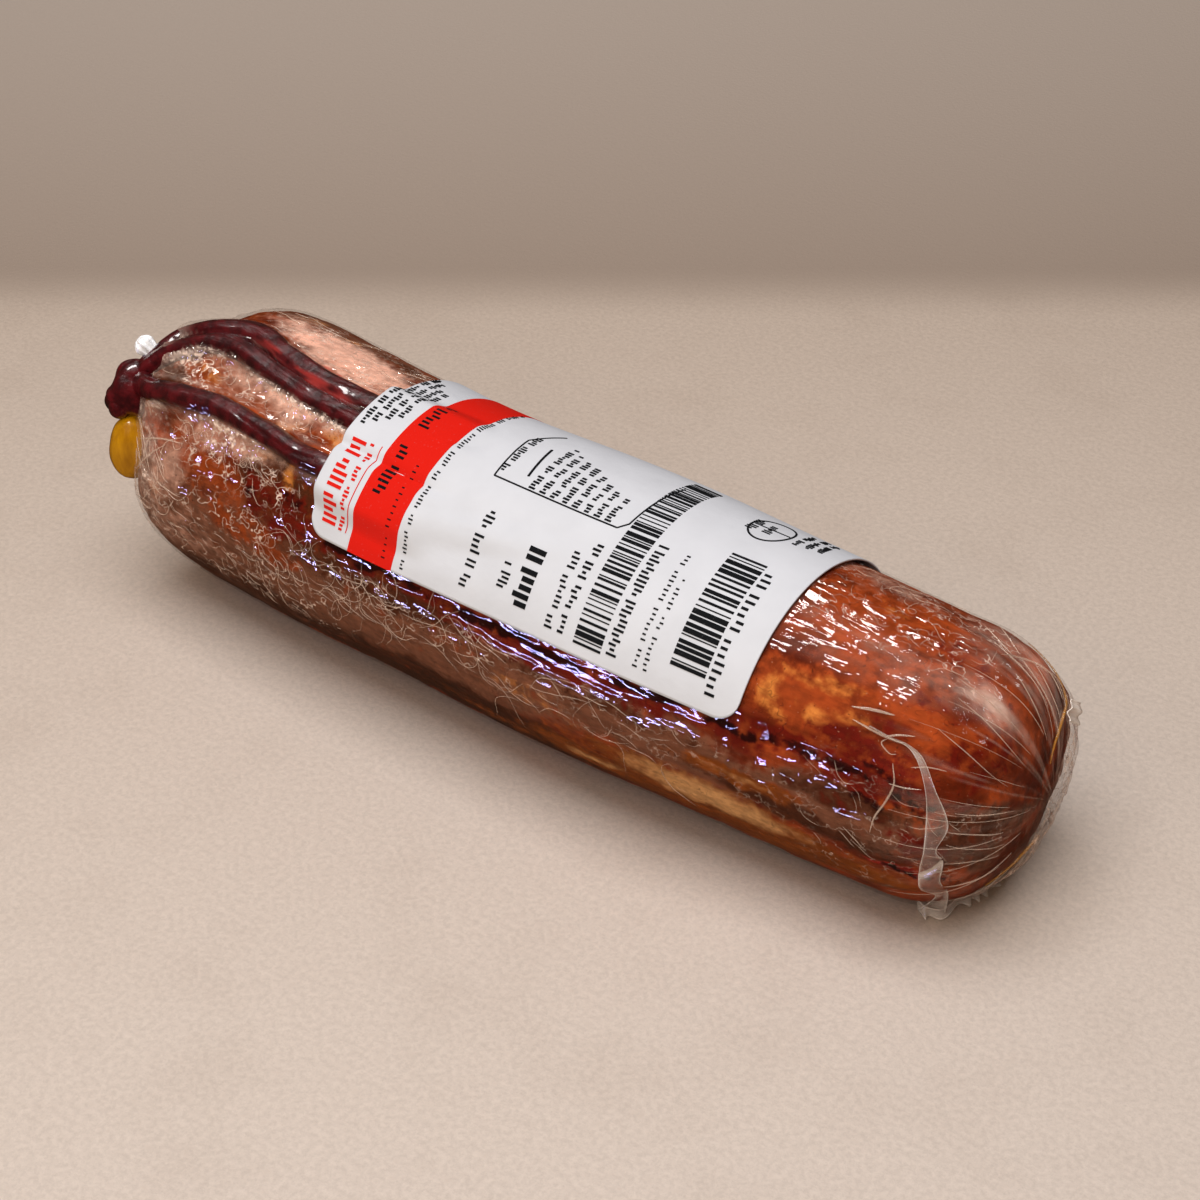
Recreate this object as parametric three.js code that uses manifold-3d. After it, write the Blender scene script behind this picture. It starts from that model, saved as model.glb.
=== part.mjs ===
// A whole cured pork loin in skin-tight clear film. A dark cord, knotted at one end, runs along its
// top in three strands, a golden lobe shows under the knot, and a paper label lies round its middle.
//
// Millimetres, +Z up. The loin lies along X on the plane z = 0, its knot towards -X and the gathered
// end of its film towards +X. A place on it is a station along X, counted from the section where its
// axis bends least, and a turn round the section in degrees: 0 is +Y, 90 is the top and 180 is -Y.
// The origin is on the plane z = 0, under the middle of the part.

import * as THREE from 'three';
import { mergeVertices } from 'three/addons/utils/BufferGeometryUtils.js';
import Module from 'manifold-3d';

const wasm = await Module();
wasm.setup();

// --- Driving dimensions ---------------------------------------------------------------------------

const GAP = 0.3; // clear space between touching pieces

// The loin in its film
const KNOT_END = -100.3; // station of the knotted end
const FAR_END = 89.5; // station of the gathered end
const WAIST_RADIUS = 26.9; // half-width of the section at station 0
const KNOT_END_SWELL = 2.1; // how much wider the section is at station -100
const FAR_END_TAPER = 2.75; // how much slimmer it is near the gathered end
const HEIGHT_SHARE = 0.97; // height of a section as a share of its width
const AXIS_BEND = 4.6; // how far the axis has moved towards +Y, 100 mm from station 0
const KNOT_CAP = { length: 23.9, power: 3.0 }; // rounding of the knotted end
const FAR_CAP = { length: 22.1, power: 2.6 }; // rounding of the gathered end
const PRESSED_FLAT = 1.2; // depth of the underside that its weight has pressed flat
const MUSCLE = { height: 0.25, length: 62, lobes: 2 }; // soft unevenness of the muscle

// The film's pleats, drawn together at the far end
const PLEATS = { count: 12, depth: 0.55, length: 30, fullWithin: 10, unevenness: 1.3 };

// Where the knotted end bulges: the gathered neck at the knot, and the full lower corner
const BULGES = [
  { station: -96.8, turn: 136, height: 4.6, spread: 6.5 },
  { station: -96.3, turn: 196, height: 3.6, spread: 9.0 },
];

// The short tail of film beyond the knot: a waist, then a round tip
const FILM_TAIL = {
  from: [-95.5, -7.4, 44],
  to: [-102.4, -9.8, 49.7],
  rootRadius: 3.2,
  waistRadius: 1.2,
  waistShare: 0.62,
  tipRadius: 1.9,
};

// The cord: three strands that come off the knot. Each place on a route is a station, a turn and the
// height of the strand's middle above the loin, which is less where the label presses on it.
const STRANDS = {
  cord_front: {
    radius: 2.3,
    route: [[-91.8, 137.5, 0.6], [-88.5, 135.5, 0.6], [-84.8, 134, 0.5], [-76.4, 131, 0.5],
      [-68.2, 131, 0.5], [-61.3, 131.5, 0.5], [-54.8, 133, 0.3], [-48.6, 132.5, -0.1],
      [-38, 134, -0.7], [-28, 135, -1.1]],
  },
  cord_middle: {
    radius: 2.2,
    route: [[-95.4, 128, 0.8], [-93.7, 120, 0.6], [-91.2, 115, 0.5], [-86.6, 109, 0.5], [-79.8, 107, 0.5],
      [-71.9, 108.5, 0.5], [-64.4, 109.5, 0.4], [-57.5, 110.3, 0.3], [-50, 110.8, 0], [-40, 111, -0.6],
      [-30, 112, -1]],
  },
  cord_back: {
    radius: 2.5,
    route: [[-96, 118, 1.4], [-94.5, 109, 1.2], [-89.2, 103.5, 0.6], [-83.9, 98.7, 0.3], [-79, 96.7, 0.2],
      [-73, 98.5, 0.2], [-64.4, 100.6, 0.1], [-57.2, 101, 0], [-50, 100, -0.3], [-40, 98.8, -0.9],
      [-32, 98.5, -1.2]],
  },
};
const KNOT_LUMPS = [ // centre and half-sizes of each fold of the knot
  { at: [-101.8, -13.4, 44.2], size: [3.9, 3.7, 3.9] },
  { at: [-102.7, -17.4, 40.6], size: [3.6, 3.2, 3.3] },
  { at: [-100.2, -14.6, 41.6], size: [4.4, 4.0, 4.6] },
];

// The golden lobe under the knot, and how many degrees its top leans away from the loin
const LOBE = { at: [-101, -17.2, 31], size: [4.4, 4.8, 7.4], lean: 10 };

// The paper label, and how it lies over the strands under it: level to one distance from a strand's
// middle, down on the loin at the next, and level again this far past a strand's end
const LABEL = { from: -47.2, to: 44.9, lowerTurn: 157.6, wrap: 68, thickness: 0.3, corner: 4 };
const RIDGE = { level: 3.0, foot: 7.5, fadeFrom: 2, fadeTo: 10 };

// The standing flap of film near the far end: places on the loin, the foot, and widths along it
const FLAP = {
  thickness: 1.1,
  lift: 0.5,
  route: [[70, 138.5], [75.5, 142], [78.6, 152], [80.3, 165], [81, 178], [80.5, 193], [79.6, 205]],
  foot: [77.8, -9.6, 0.7],
  widths: [1.6, 2.6, 3.4, 4.0, 3.2, 2.4, 3.6, 5.4],
};
const TAB = { at: [88.2, 12.4, 35.4], size: [2.2, 4.6, 3.6], tilt: 40 }; // film tab on the far end

// --- Fineness of the facets -----------------------------------------------------------------------

const BODY_SIDES = 64;
const BODY_ROWS = 52;
const CAP_ROWS = 13; // rows on each rounded end
const CAP_CROWDING = 1.25; // how much closer they are near the pole
const CORD_SIDES = 10;
const CORD_STEPS = 30;
const LABEL_COLUMNS = 22;
const LABEL_ROWS = 26;
const LABEL_CROWDING = 0.8; // how much closer its columns are near its two ends
const LUMP_SIDES = 16;
const TAIL_SIDES = 12;
const FLAP_STEPS = 26;

// --- Small helpers --------------------------------------------------------------------------------

const { clamp, smoothstep, lerp, degToRad: radians } = THREE.MathUtils;

function vector([x, y, z]) {
  return new THREE.Vector3(x, y, z);
}

// Moves every corner of a closed geometry to where place() puts it, and leaves only its positions.
function reshape(geometry, place) {
  geometry.deleteAttribute('normal');
  geometry.deleteAttribute('uv');
  const merged = mergeVertices(geometry, 1e-4);
  const position = merged.getAttribute('position');
  const corner = new THREE.Vector3();
  for (let i = 0; i < position.count; i += 1) {
    corner.fromBufferAttribute(position, i);
    const moved = place(corner);
    position.setXYZ(i, moved.x, moved.y, moved.z);
  }
  return merged;
}

function toSolid(geometry) {
  const position = geometry.getAttribute('position');
  return new wasm.Manifold(new wasm.Mesh({
    numProp: 3,
    vertProperties: new Float32Array(position.array),
    triVerts: new Uint32Array(geometry.index.array),
  }));
}

// The largest body of a solid, so that no crumb left by a cut stays with it.
function toGeometry(solid) {
  const bodies = solid.decompose();
  bodies.sort((a, b) => b.volume() - a.volume());
  const mesh = bodies[0].getMesh();
  const geometry = new THREE.BufferGeometry();
  geometry.setAttribute('position', new THREE.BufferAttribute(new Float32Array(mesh.vertProperties), 3));
  geometry.setIndex(new THREE.BufferAttribute(new Uint32Array(mesh.triVerts), 1));
  return geometry;
}

function piece(name, solid, colour, roughness) {
  const material = new THREE.MeshStandardMaterial({ color: colour, roughness, metalness: 0 });
  const mesh = new THREE.Mesh(toGeometry(solid), material);
  mesh.name = name;
  return mesh;
}

// --- The surface of the loin ----------------------------------------------------------------------

function endRounding(depth, cap) {
  const share = clamp(depth / cap.length, 0, 1);
  return Math.pow(Math.max(1 - Math.pow(share, cap.power), 0), 1 / cap.power);
}

// Half-width, sideways place and end rounding of the section at a station.
function section(station) {
  const swell = KNOT_END_SWELL * Math.pow(clamp((-station - 20) / 80, 0, 2), 2);
  const taper = FAR_END_TAPER * smoothstep(station, 10, 85);
  return {
    radius: WAIST_RADIUS + swell - taper,
    y: AXIS_BEND * Math.pow(station / 100, 2),
    rounding: endRounding(KNOT_END + KNOT_CAP.length - station, KNOT_CAP)
      * endRounding(station - FAR_END + FAR_CAP.length, FAR_CAP),
  };
}

// Pleats that fade in over the film's last stretch and shrink again towards its gathered point.
function pleatRelief(station, angle, reach) {
  const start = smoothstep(station, FAR_END - PLEATS.length, FAR_END - PLEATS.fullWithin);
  const uneven = PLEATS.unevenness * (Math.sin(2 * angle) + 0.6 * Math.sin(5 * angle));
  const fold = Math.cos(PLEATS.count * angle + uneven);
  return PLEATS.depth * start * Math.min(reach / (WAIST_RADIUS / 2), 1) * fold;
}

function muscleRelief(station, angle, rounding) {
  const wave = Math.sin((2 * Math.PI * station) / MUSCLE.length + MUSCLE.lobes * angle);
  return MUSCLE.height * rounding * wave;
}

// The point at a station and an angle in radians, lifted off the round loin without its bulges.
function roundPoint(station, angle, lift) {
  const { radius, y, rounding } = section(station);
  const reach = radius * rounding;
  const relief = pleatRelief(station, angle, reach) + muscleRelief(station, angle, rounding);
  const out = reach + relief + lift;
  const below = Math.sin(angle) < 0 ? PRESSED_FLAT * rounding : 0;
  return new THREE.Vector3(
    station,
    y + out * Math.cos(angle),
    radius * HEIGHT_SHARE + (out * HEIGHT_SHARE + below) * Math.sin(angle),
  );
}

// The summit of each bulge, and the way that it points.
const bulgePeaks = BULGES.map(({ station, turn, height, spread }) => {
  const step = 0.05;
  const angle = radians(turn);
  const summit = roundPoint(station, angle, 0);
  const along = roundPoint(station + step, angle, 0).sub(summit);
  const around = roundPoint(station, angle + step / WAIST_RADIUS, 0).sub(summit);
  return { summit, height, spread, outwards: around.cross(along).normalize() };
});

function surfacePoint(station, angle, lift) {
  const place = roundPoint(station, angle, lift);
  const pushed = place.clone();
  for (const { summit, height, spread, outwards } of bulgePeaks) {
    const nearness = Math.exp(-place.distanceToSquared(summit) / (2 * spread * spread));
    pushed.addScaledVector(outwards, height * nearness);
  }
  return pushed;
}

// --- The loin in its film -------------------------------------------------------------------------

// The station of a row of facets, with the rows closer together on the two rounded ends.
function rowStation(row) {
  const fromEnd = Math.min(row, BODY_ROWS - row) / CAP_ROWS;
  const knotSide = row < BODY_ROWS / 2;
  const cap = knotSide ? KNOT_CAP : FAR_CAP;
  if (fromEnd < 1) {
    const sweep = (Math.PI / 2) * Math.pow(fromEnd, CAP_CROWDING);
    const depth = cap.length * (1 - Math.pow(Math.cos(sweep), 2 / cap.power));
    return knotSide ? KNOT_END + depth : FAR_END - depth;
  }
  const share = (row - CAP_ROWS) / (BODY_ROWS - 2 * CAP_ROWS);
  return lerp(KNOT_END + KNOT_CAP.length, FAR_END - FAR_CAP.length, share);
}

function loinGeometry(growth) {
  const globe = new THREE.SphereGeometry(1, BODY_SIDES, BODY_ROWS);
  return reshape(globe, (corner) => {
    const row = Math.round((BODY_ROWS * Math.acos(clamp(corner.y, -1, 1))) / Math.PI);
    const station = rowStation(row);
    const atPole = row === 0 || row === BODY_ROWS;
    const place = surfacePoint(station, Math.atan2(corner.z, corner.x), atPole ? 0 : growth);
    place.x += Math.sign(station) * growth * (1 - section(station).rounding);
    return place;
  });
}

function filmTail(growth) {
  const from = vector(FILM_TAIL.from);
  const axis = vector(FILM_TAIL.to).sub(from);
  const length = axis.length();
  const tip = FILM_TAIL.tipRadius + growth;
  const outline = [
    new THREE.Vector2(0, 0),
    new THREE.Vector2(FILM_TAIL.rootRadius + growth, 0),
    new THREE.Vector2(FILM_TAIL.waistRadius + growth, length * FILM_TAIL.waistShare),
  ];
  for (let rise = -35; rise < 90; rise += 25) {
    const sweep = radians(rise);
    outline.push(new THREE.Vector2(tip * Math.cos(sweep), length + tip * Math.sin(sweep)));
  }
  outline.push(new THREE.Vector2(0, length + tip));
  const upright = new THREE.Vector3(0, 1, 0);
  const turned = new THREE.Quaternion().setFromUnitVectors(upright, axis.normalize());
  const lathe = new THREE.LatheGeometry(outline, TAIL_SIDES);
  return reshape(lathe, (corner) => corner.clone().applyQuaternion(turned).add(from));
}

// A strip of film along a curve, with its flat side turned away from the loin's axis.
function filmFlap() {
  const places = FLAP.route.map(([station, turn]) => surfacePoint(station, radians(turn), FLAP.lift));
  places.push(vector(FLAP.foot));
  const curve = new THREE.CatmullRomCurve3(places);
  const strip = new THREE.BoxGeometry(1, 1, FLAP.thickness, FLAP_STEPS, 1, 1);
  return reshape(strip, (corner) => {
    const share = corner.x + 0.5;
    const place = curve.getPoint(share);
    const { y, radius } = section(place.x);
    const outwards = new THREE.Vector3(0, place.y - y, place.z - radius * HEIGHT_SHARE).normalize();
    const across = outwards.clone().cross(curve.getTangent(share)).normalize();
    const step = share * (FLAP.widths.length - 1);
    const first = Math.min(Math.floor(step), FLAP.widths.length - 2);
    const width = lerp(FLAP.widths[first], FLAP.widths[first + 1], step - first);
    return place.addScaledVector(across, corner.y * width).addScaledVector(outwards, corner.z);
  });
}

function filmTab() {
  const turned = new THREE.Quaternion().setFromAxisAngle(new THREE.Vector3(1, 0, 0), -radians(TAB.tilt));
  const box = new THREE.BoxGeometry(...TAB.size);
  return reshape(box, (corner) => corner.clone().applyQuaternion(turned).add(vector(TAB.at)));
}

function belowFloor() {
  const depth = 2 * WAIST_RADIUS;
  const length = 2 * (FAR_END - KNOT_END);
  const block = new THREE.BoxGeometry(length, length, depth);
  return reshape(block, (corner) => corner.clone().setZ(corner.z - depth / 2));
}

const loin = toSolid(loinGeometry(0))
  .add(toSolid(filmTail(0)))
  .add(toSolid(filmFlap()))
  .add(toSolid(filmTab()))
  .subtract(toSolid(belowFloor()));
const loinClearance = toSolid(loinGeometry(GAP)).add(toSolid(filmTail(GAP)));

// --- The knot and the golden lobe -----------------------------------------------------------------

function lump({ at, size, lean = 0 }, growth) {
  const globe = new THREE.SphereGeometry(1, LUMP_SIDES, LUMP_SIDES / 2);
  const half = vector(size).addScalar(growth);
  const leaning = new THREE.Quaternion().setFromAxisAngle(new THREE.Vector3(0, 1, 0), radians(lean));
  return toSolid(reshape(globe, (corner) => (
    corner.clone().multiply(half).applyQuaternion(leaning).add(vector(at))
  )));
}

function foldedKnot(growth) {
  const folds = KNOT_LUMPS.map((fold) => lump(fold, growth));
  return folds.reduce((whole, fold) => whole.add(fold));
}

const knot = foldedKnot(0).subtract(loinClearance);
const loinAndKnotClearance = loinClearance.add(foldedKnot(GAP));
const lobe = lump(LOBE, 0).subtract(loinAndKnotClearance);

// --- The strands of the cord ----------------------------------------------------------------------

function strand({ radius, route }, growth) {
  const places = route.map(([station, turn, height]) => surfacePoint(station, radians(turn), height));
  places.unshift(vector(KNOT_LUMPS[0].at));
  const outline = [];
  for (let side = 0; side < CORD_SIDES; side += 1) {
    const angle = (2 * Math.PI * side) / CORD_SIDES;
    outline.push(new THREE.Vector2(Math.cos(angle), Math.sin(angle)).multiplyScalar(radius + growth));
  }
  const tube = new THREE.ExtrudeGeometry(new THREE.Shape(outline), {
    steps: CORD_STEPS,
    extrudePath: new THREE.CatmullRomCurve3(places),
    bevelEnabled: false,
  });
  return toSolid(reshape(tube, (corner) => corner));
}

const { cord_front: front, cord_middle: middle, cord_back: back } = STRANDS;
const frontStrand = strand(front, 0).subtract(loinAndKnotClearance);
const middleStrand = strand(middle, 0)
  .subtract(loinAndKnotClearance)
  .subtract(strand(front, GAP));
const backStrand = strand(back, 0)
  .subtract(loinAndKnotClearance)
  .subtract(strand(front, GAP))
  .subtract(strand(middle, GAP));

// --- The label ------------------------------------------------------------------------------------

// How much one strand under the label raises it, at a station and an angle in radians.
function strandRise({ radius: strandRadius, route }, station, angle) {
  const last = route.length - 1;
  const ahead = route.findIndex(([along]) => along > station);
  const next = ahead < 1 ? last : ahead;
  const [fromStation, fromTurn, fromHeight] = route[next - 1];
  const [toStation, toTurn, toHeight] = route[next];
  const share = clamp((station - fromStation) / (toStation - fromStation), 0, 1);
  const aside = section(station).radius * Math.abs(angle - radians(lerp(fromTurn, toTurn, share)));
  const past = station - route[last][0];
  const top = strandRadius + lerp(fromHeight, toHeight, share) + GAP;
  const flank = 1 - smoothstep(aside, RIDGE.level, RIDGE.foot);
  return top * flank * (1 - smoothstep(past, RIDGE.fadeFrom, RIDGE.fadeTo));
}

function labelGeometry() {
  const length = LABEL.to - LABEL.from;
  const strands = Object.values(STRANDS);
  const sheet = new THREE.BoxGeometry(2, 2, LABEL.thickness, LABEL_COLUMNS, LABEL_ROWS, 1);
  return reshape(sheet, (corner) => {
    const along = lerp(corner.x, Math.sin((corner.x * Math.PI) / 2), LABEL_CROWDING);
    const fromMiddle = (along * length) / 2;
    const intoCorner = Math.max(Math.abs(fromMiddle) - length / 2 + LABEL.corner, 0);
    const cornerLoss = LABEL.corner - Math.sqrt(Math.max(LABEL.corner ** 2 - intoCorner ** 2, 0));
    const across = corner.y * (LABEL.wrap / 2 - cornerLoss);
    const station = (LABEL.from + LABEL.to) / 2 + fromMiddle;
    const angle = radians(LABEL.lowerTurn) - (across + LABEL.wrap / 2) / section(station).radius;
    const rise = Math.max(...strands.map((cord) => strandRise(cord, station, angle)));
    return surfacePoint(station, angle, GAP + LABEL.thickness / 2 + corner.z + rise);
  });
}

// --- The whole part -------------------------------------------------------------------------------

const curedLoin = new THREE.Group();
curedLoin.add(piece('wrapped_loin', loin, 0x8c3a1a, 0.25));
curedLoin.add(piece('knot', knot, 0x5a1c22, 0.35));
curedLoin.add(piece('yellow_lobe', lobe, 0xd99a1e, 0.25));
curedLoin.add(piece('cord_front', frontStrand, 0x4c0f16, 0.3));
curedLoin.add(piece('cord_middle', middleStrand, 0x4c0f16, 0.3));
curedLoin.add(piece('cord_back', backStrand, 0x641a1e, 0.3));
curedLoin.add(piece('label', toSolid(labelGeometry()), 0xf1f0ee, 0.6));

// The origin goes under the middle of the part.
const extent = new THREE.Box3().setFromObject(curedLoin);
const centre = extent.getCenter(new THREE.Vector3());
curedLoin.position.set(-centre.x, -centre.y, 0);

export default curedLoin;
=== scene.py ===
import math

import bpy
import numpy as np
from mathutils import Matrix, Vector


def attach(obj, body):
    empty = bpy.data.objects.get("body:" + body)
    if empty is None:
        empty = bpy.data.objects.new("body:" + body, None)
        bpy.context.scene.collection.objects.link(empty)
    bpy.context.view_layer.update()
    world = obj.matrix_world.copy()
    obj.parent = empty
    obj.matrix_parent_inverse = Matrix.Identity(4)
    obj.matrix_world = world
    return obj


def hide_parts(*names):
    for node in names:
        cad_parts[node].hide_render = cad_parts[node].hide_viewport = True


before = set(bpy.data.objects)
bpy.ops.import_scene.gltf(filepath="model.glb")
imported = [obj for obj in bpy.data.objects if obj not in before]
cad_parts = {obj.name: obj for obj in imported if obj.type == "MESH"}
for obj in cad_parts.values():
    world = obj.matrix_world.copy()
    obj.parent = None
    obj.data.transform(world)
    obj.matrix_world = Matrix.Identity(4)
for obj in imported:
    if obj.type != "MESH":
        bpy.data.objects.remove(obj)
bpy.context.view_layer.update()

# A whole cured pork loin in skin-tight clear film. The film, the meat under it, the three strands of
# dark cord, the knot, the golden lobe and the paper label are each made here at full fineness over
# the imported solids. Lengths are in millimetres until to_object() turns them to metres.
#
# A place on the loin is a station along X and a turn round the section in degrees, where 0 is +Y, 90 is
# the top and 180 is -Y. Stations are counted from the section where the loin's axis bends least.

METRES = 0.001
TO_FRAME = np.array((8.400, -1.952, 0.0))  # from the section at station 0 to the part's origin

# --- The loin's form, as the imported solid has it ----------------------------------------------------

KNOT_END, FAR_END = -100.3, 89.5
WAIST_RADIUS = 26.9
KNOT_END_SWELL, SWELL_FROM, SWELL_OVER = 2.1, 20, 80  # swells from this far left of station 0
FAR_END_TAPER, TAPER_STATIONS = 2.75, (10, 85)
HEIGHT_SHARE, AXIS_BEND, PRESSED_FLAT = 0.97, 4.6, 1.2
KNOT_CAP, FAR_CAP = (23.9, 3.0), (22.1, 2.6)  # length and power of each rounded end
MUSCLE = dict(height=0.25, length=62.0, lobes=2)
PLEATS = dict(count=12, depth=0.55, length=30.0, full_within=10.0, unevenness=1.3)
BULGES = ((-96.8, 136.0, 4.6, 6.5), (-96.3, 196.0, 3.6, 9.0))  # station, turn, height, spread

STRANDS = {  # radius, then station, turn and height of each place on the route
    "cord_front": (2.3, ((-91.8, 137.5, 0.6), (-88.5, 135.5, 0.6), (-84.8, 134, 0.5), (-76.4, 131, 0.5),
                         (-68.2, 131, 0.5), (-61.3, 131.5, 0.5), (-54.8, 133, 0.3), (-48.6, 132.5, -0.1),
                         (-38, 134, -0.7), (-28, 135, -1.1))),
    "cord_middle": (2.2, ((-95.4, 128, 0.8), (-93.7, 120, 0.6), (-91.2, 115, 0.5), (-86.6, 109, 0.5),
                          (-79.8, 107, 0.5), (-71.9, 108.5, 0.5), (-64.4, 109.5, 0.4), (-57.5, 110.3, 0.3),
                          (-50, 110.8, 0), (-40, 111, -0.6), (-30, 112, -1))),
    "cord_back": (2.5, ((-96, 118, 1.4), (-94.5, 109, 1.2), (-89.2, 103.5, 0.6), (-83.9, 98.7, 0.3),
                        (-79, 96.7, 0.2), (-73, 98.5, 0.2), (-64.4, 100.6, 0.1), (-57.2, 101, 0),
                        (-50, 100, -0.3), (-40, 98.8, -0.9), (-32, 98.5, -1.2))),
}
KNOT_LUMPS = (  # centre and half-sizes of each fold
    ((-101.8, -13.4, 44.2), (3.9, 3.7, 3.9)),
    ((-102.7, -17.4, 40.6), (3.6, 3.2, 3.3)),
    ((-100.2, -14.6, 41.6), (4.4, 4.0, 4.6)),
)
KNOT_HEART = ((-101.7, -15.4, 42.0), (3.6, 3.9, 4.6))  # fills the hollow between the folds
LOBE = ((-101.0, -17.2, 31.0), (4.4, 4.8, 7.4))
LOBE_LEAN, LOBE_LUMPS = math.radians(10), 0.5
FILM_TAIL = dict(start=(-95.5, -7.4, 44.0), end=(-102.4, -9.8, 49.7), waist_at=0.62, neck_at=0.86,
                 root=3.2, waist=1.2, neck=1.6, tip=1.9, pleats=9, pleat_depth=0.16)
LABEL = dict(start=-47.2, end=44.9, lower_turn=157.6, wrap=68.0, thickness=0.3, corner=4.0)
RIDGE = dict(level=3.0, foot=7.5, fade_from=2.0, fade_to=10.0)
GAP = 0.3
FLAP_LEFT = ((66, 137.4), (70, 138.6), (72.7, 138.9), (75.2, 142.8), (78.2, 152.5), (79.1, 165),
             (79.9, 180.5), (79.0, 192.5), (79.1, 204), (79.9, 219))  # station and turn
FLAP_RIGHT = ((66, 137.0), (70, 138.0), (73.0, 138.2), (75.9, 141), (79.5, 151), (82.2, 166.5),
              (81.6, 178.5), (82.4, 187), (81.8, 201), (81.8, 217.5))
FLAP_FEET = ((75.1, -10.1, 0.6), (79.1, -8.0, 0.6))  # where its two edges end on the floor
FLAP_CREASE = 0.60  # share of the way down it
FRILL_ROUTE = ((75.1, -10.1, 0.5), (76.9, -10.6, 0.4), (78.1, -9.7, 0.4), (79.1, -8.0, 0.4), (79.6, -5.5, 0.4),
               (80.6, -3.9, 0.4), (81.6, -1.2, 0.4), (82.3, 2.4, 0.4), (82.8, 4.3, 0.5))
SEAM_ROUTE = ((75.9, 48.5), (78.7, 47), (82.2, 49.5), (85.8, 52), (87.6, 65.5), (88.6, 81.5), (89.1, 92))
SEAM_LOWER = ((89.1, 266), (88.6, 240), (87.7, 228), (85.8, 226))
SEAM_HALF_WIDTH = 0.26
TAB = dict(at=(88.2, 12.4, 35.4), size=(4.6, 3.6), tilt=math.radians(40))

FILM_ON_FLOOR, LOOSE_FILM_ON_FLOOR = 0.02, 0.05  # least heights over the floor
MEAT_OVER_FILM = 0.3  # how far the meat stays above the film that it lies on
POLE_MARGIN = 0.05  # what is drawn on the film keeps this far from both poles


def smoothstep(value, low, high):
    share = np.clip((np.asarray(value, float) - low) / (high - low), 0, 1)
    return share * share * (3 - 2 * share)


def end_rounding(depth, cap):
    share = np.clip(depth / cap[0], 0, 1)
    return np.maximum(1 - share ** cap[1], 0) ** (1 / cap[1])


def section(station):
    """Half-width, sideways place and end rounding of the section at each station."""
    station = np.asarray(station, float)
    swell = KNOT_END_SWELL * np.clip((-station - SWELL_FROM) / SWELL_OVER, 0, 2) ** 2
    radius = WAIST_RADIUS + swell - FAR_END_TAPER * smoothstep(station, *TAPER_STATIONS)
    rounding = (end_rounding(KNOT_END + KNOT_CAP[0] - station, KNOT_CAP)
                * end_rounding(station - FAR_END + FAR_CAP[0], FAR_CAP))
    return radius, AXIS_BEND * (station / 100) ** 2, rounding


def round_point(station, angle, lift):
    radius, y, rounding = section(station)
    reach = radius * rounding
    start = smoothstep(station, FAR_END - PLEATS["length"], FAR_END - PLEATS["full_within"])
    uneven = PLEATS["unevenness"] * (np.sin(2 * angle) + 0.6 * np.sin(5 * angle))
    fold = np.cos(PLEATS["count"] * angle + uneven)
    pleat = PLEATS["depth"] * start * np.minimum(reach / (WAIST_RADIUS / 2), 1) * fold
    wave = np.sin(2 * np.pi * np.asarray(station) / MUSCLE["length"] + MUSCLE["lobes"] * angle)
    out = reach + pleat + MUSCLE["height"] * rounding * wave + lift
    below = np.where(np.sin(angle) < 0, PRESSED_FLAT * rounding, 0)
    x = np.broadcast_to(station, np.shape(out))
    return np.stack([x, y + out * np.cos(angle),
                     radius * HEIGHT_SHARE + (out * HEIGHT_SHARE + below) * np.sin(angle)], -1)


def bulge_peak(station, turn, height, spread):
    angle, step = math.radians(turn), 0.05
    summit = round_point(station, angle, 0)
    along = round_point(station + step, angle, 0) - summit
    around = round_point(station, angle + step / WAIST_RADIUS, 0) - summit
    outwards = np.cross(around, along)
    return summit, height, spread, outwards / np.linalg.norm(outwards)


BULGE_PEAKS = [bulge_peak(*bulge) for bulge in BULGES]


def loin_point(station, angle, lift=0.0):
    """The point on the loin's film at a station and an angle in radians, lifted off it by lift."""
    place = round_point(station, np.asarray(angle, float), lift)
    pushed = place.copy()
    for summit, height, spread, outwards in BULGE_PEAKS:
        distance = ((place - summit) ** 2).sum(-1)
        pushed += outwards * (height * np.exp(-distance / (2 * spread * spread)))[..., None]
    return pushed


def unit(vectors):
    return vectors / (np.linalg.norm(vectors, axis=-1, keepdims=True) + 1e-12)


def loin_outwards(station, angle, step=0.15):
    """The way out of the loin, square to its surface."""
    lo = np.clip(np.asarray(station, float) - step, KNOT_END + 0.02, FAR_END - 0.02)
    hi = np.clip(np.asarray(station, float) + step, KNOT_END + 0.02, FAR_END - 0.02)
    along = loin_point(hi, angle) - loin_point(lo, angle)
    turn_step = step / WAIST_RADIUS
    around = loin_point(station, angle + turn_step) - loin_point(station, angle - turn_step)
    return unit(np.cross(around, along))


# --- Uneven fields ----------------------------------------------------------------------------------

LATTICE_VALUES = 4096  # a power of two, so that a mask wraps a cell's key round the table
LATTICE_KEYS = (73856093, 19349663, 83492791)


def lattice_noise(points, size, seed):
    """Smooth noise from 0 to 1 whose lumps are about size millimetres wide; size may differ by axis."""
    table = np.random.default_rng(seed).random(LATTICE_VALUES)
    scaled = points / np.asarray(size, float)
    cell = np.floor(scaled).astype(np.int64)
    share = scaled - cell
    share = share * share * (3 - 2 * share)
    total = np.zeros(points.shape[:-1])
    for corner in range(8):
        offset = np.array([corner & 1, corner >> 1 & 1, corner >> 2 & 1])
        weight = np.prod(np.where(offset, share, 1 - share), axis=-1)
        at = cell + offset
        key = np.bitwise_xor.reduce(at * np.array(LATTICE_KEYS), axis=-1)
        total += weight * table[key & (LATTICE_VALUES - 1)]
    return total


def layered_noise(points, size, seed, layers=3):
    """Lattice noise with finer, weaker layers over it."""
    total, weight, share = 0.0, 0.0, 1.0
    for layer in range(layers):
        scale = 2.0 ** layer
        total = total + share * lattice_noise(points * scale + 31.7 * layer, size, seed + layer)
        weight += share
        share *= 0.55
    return total / weight


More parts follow.
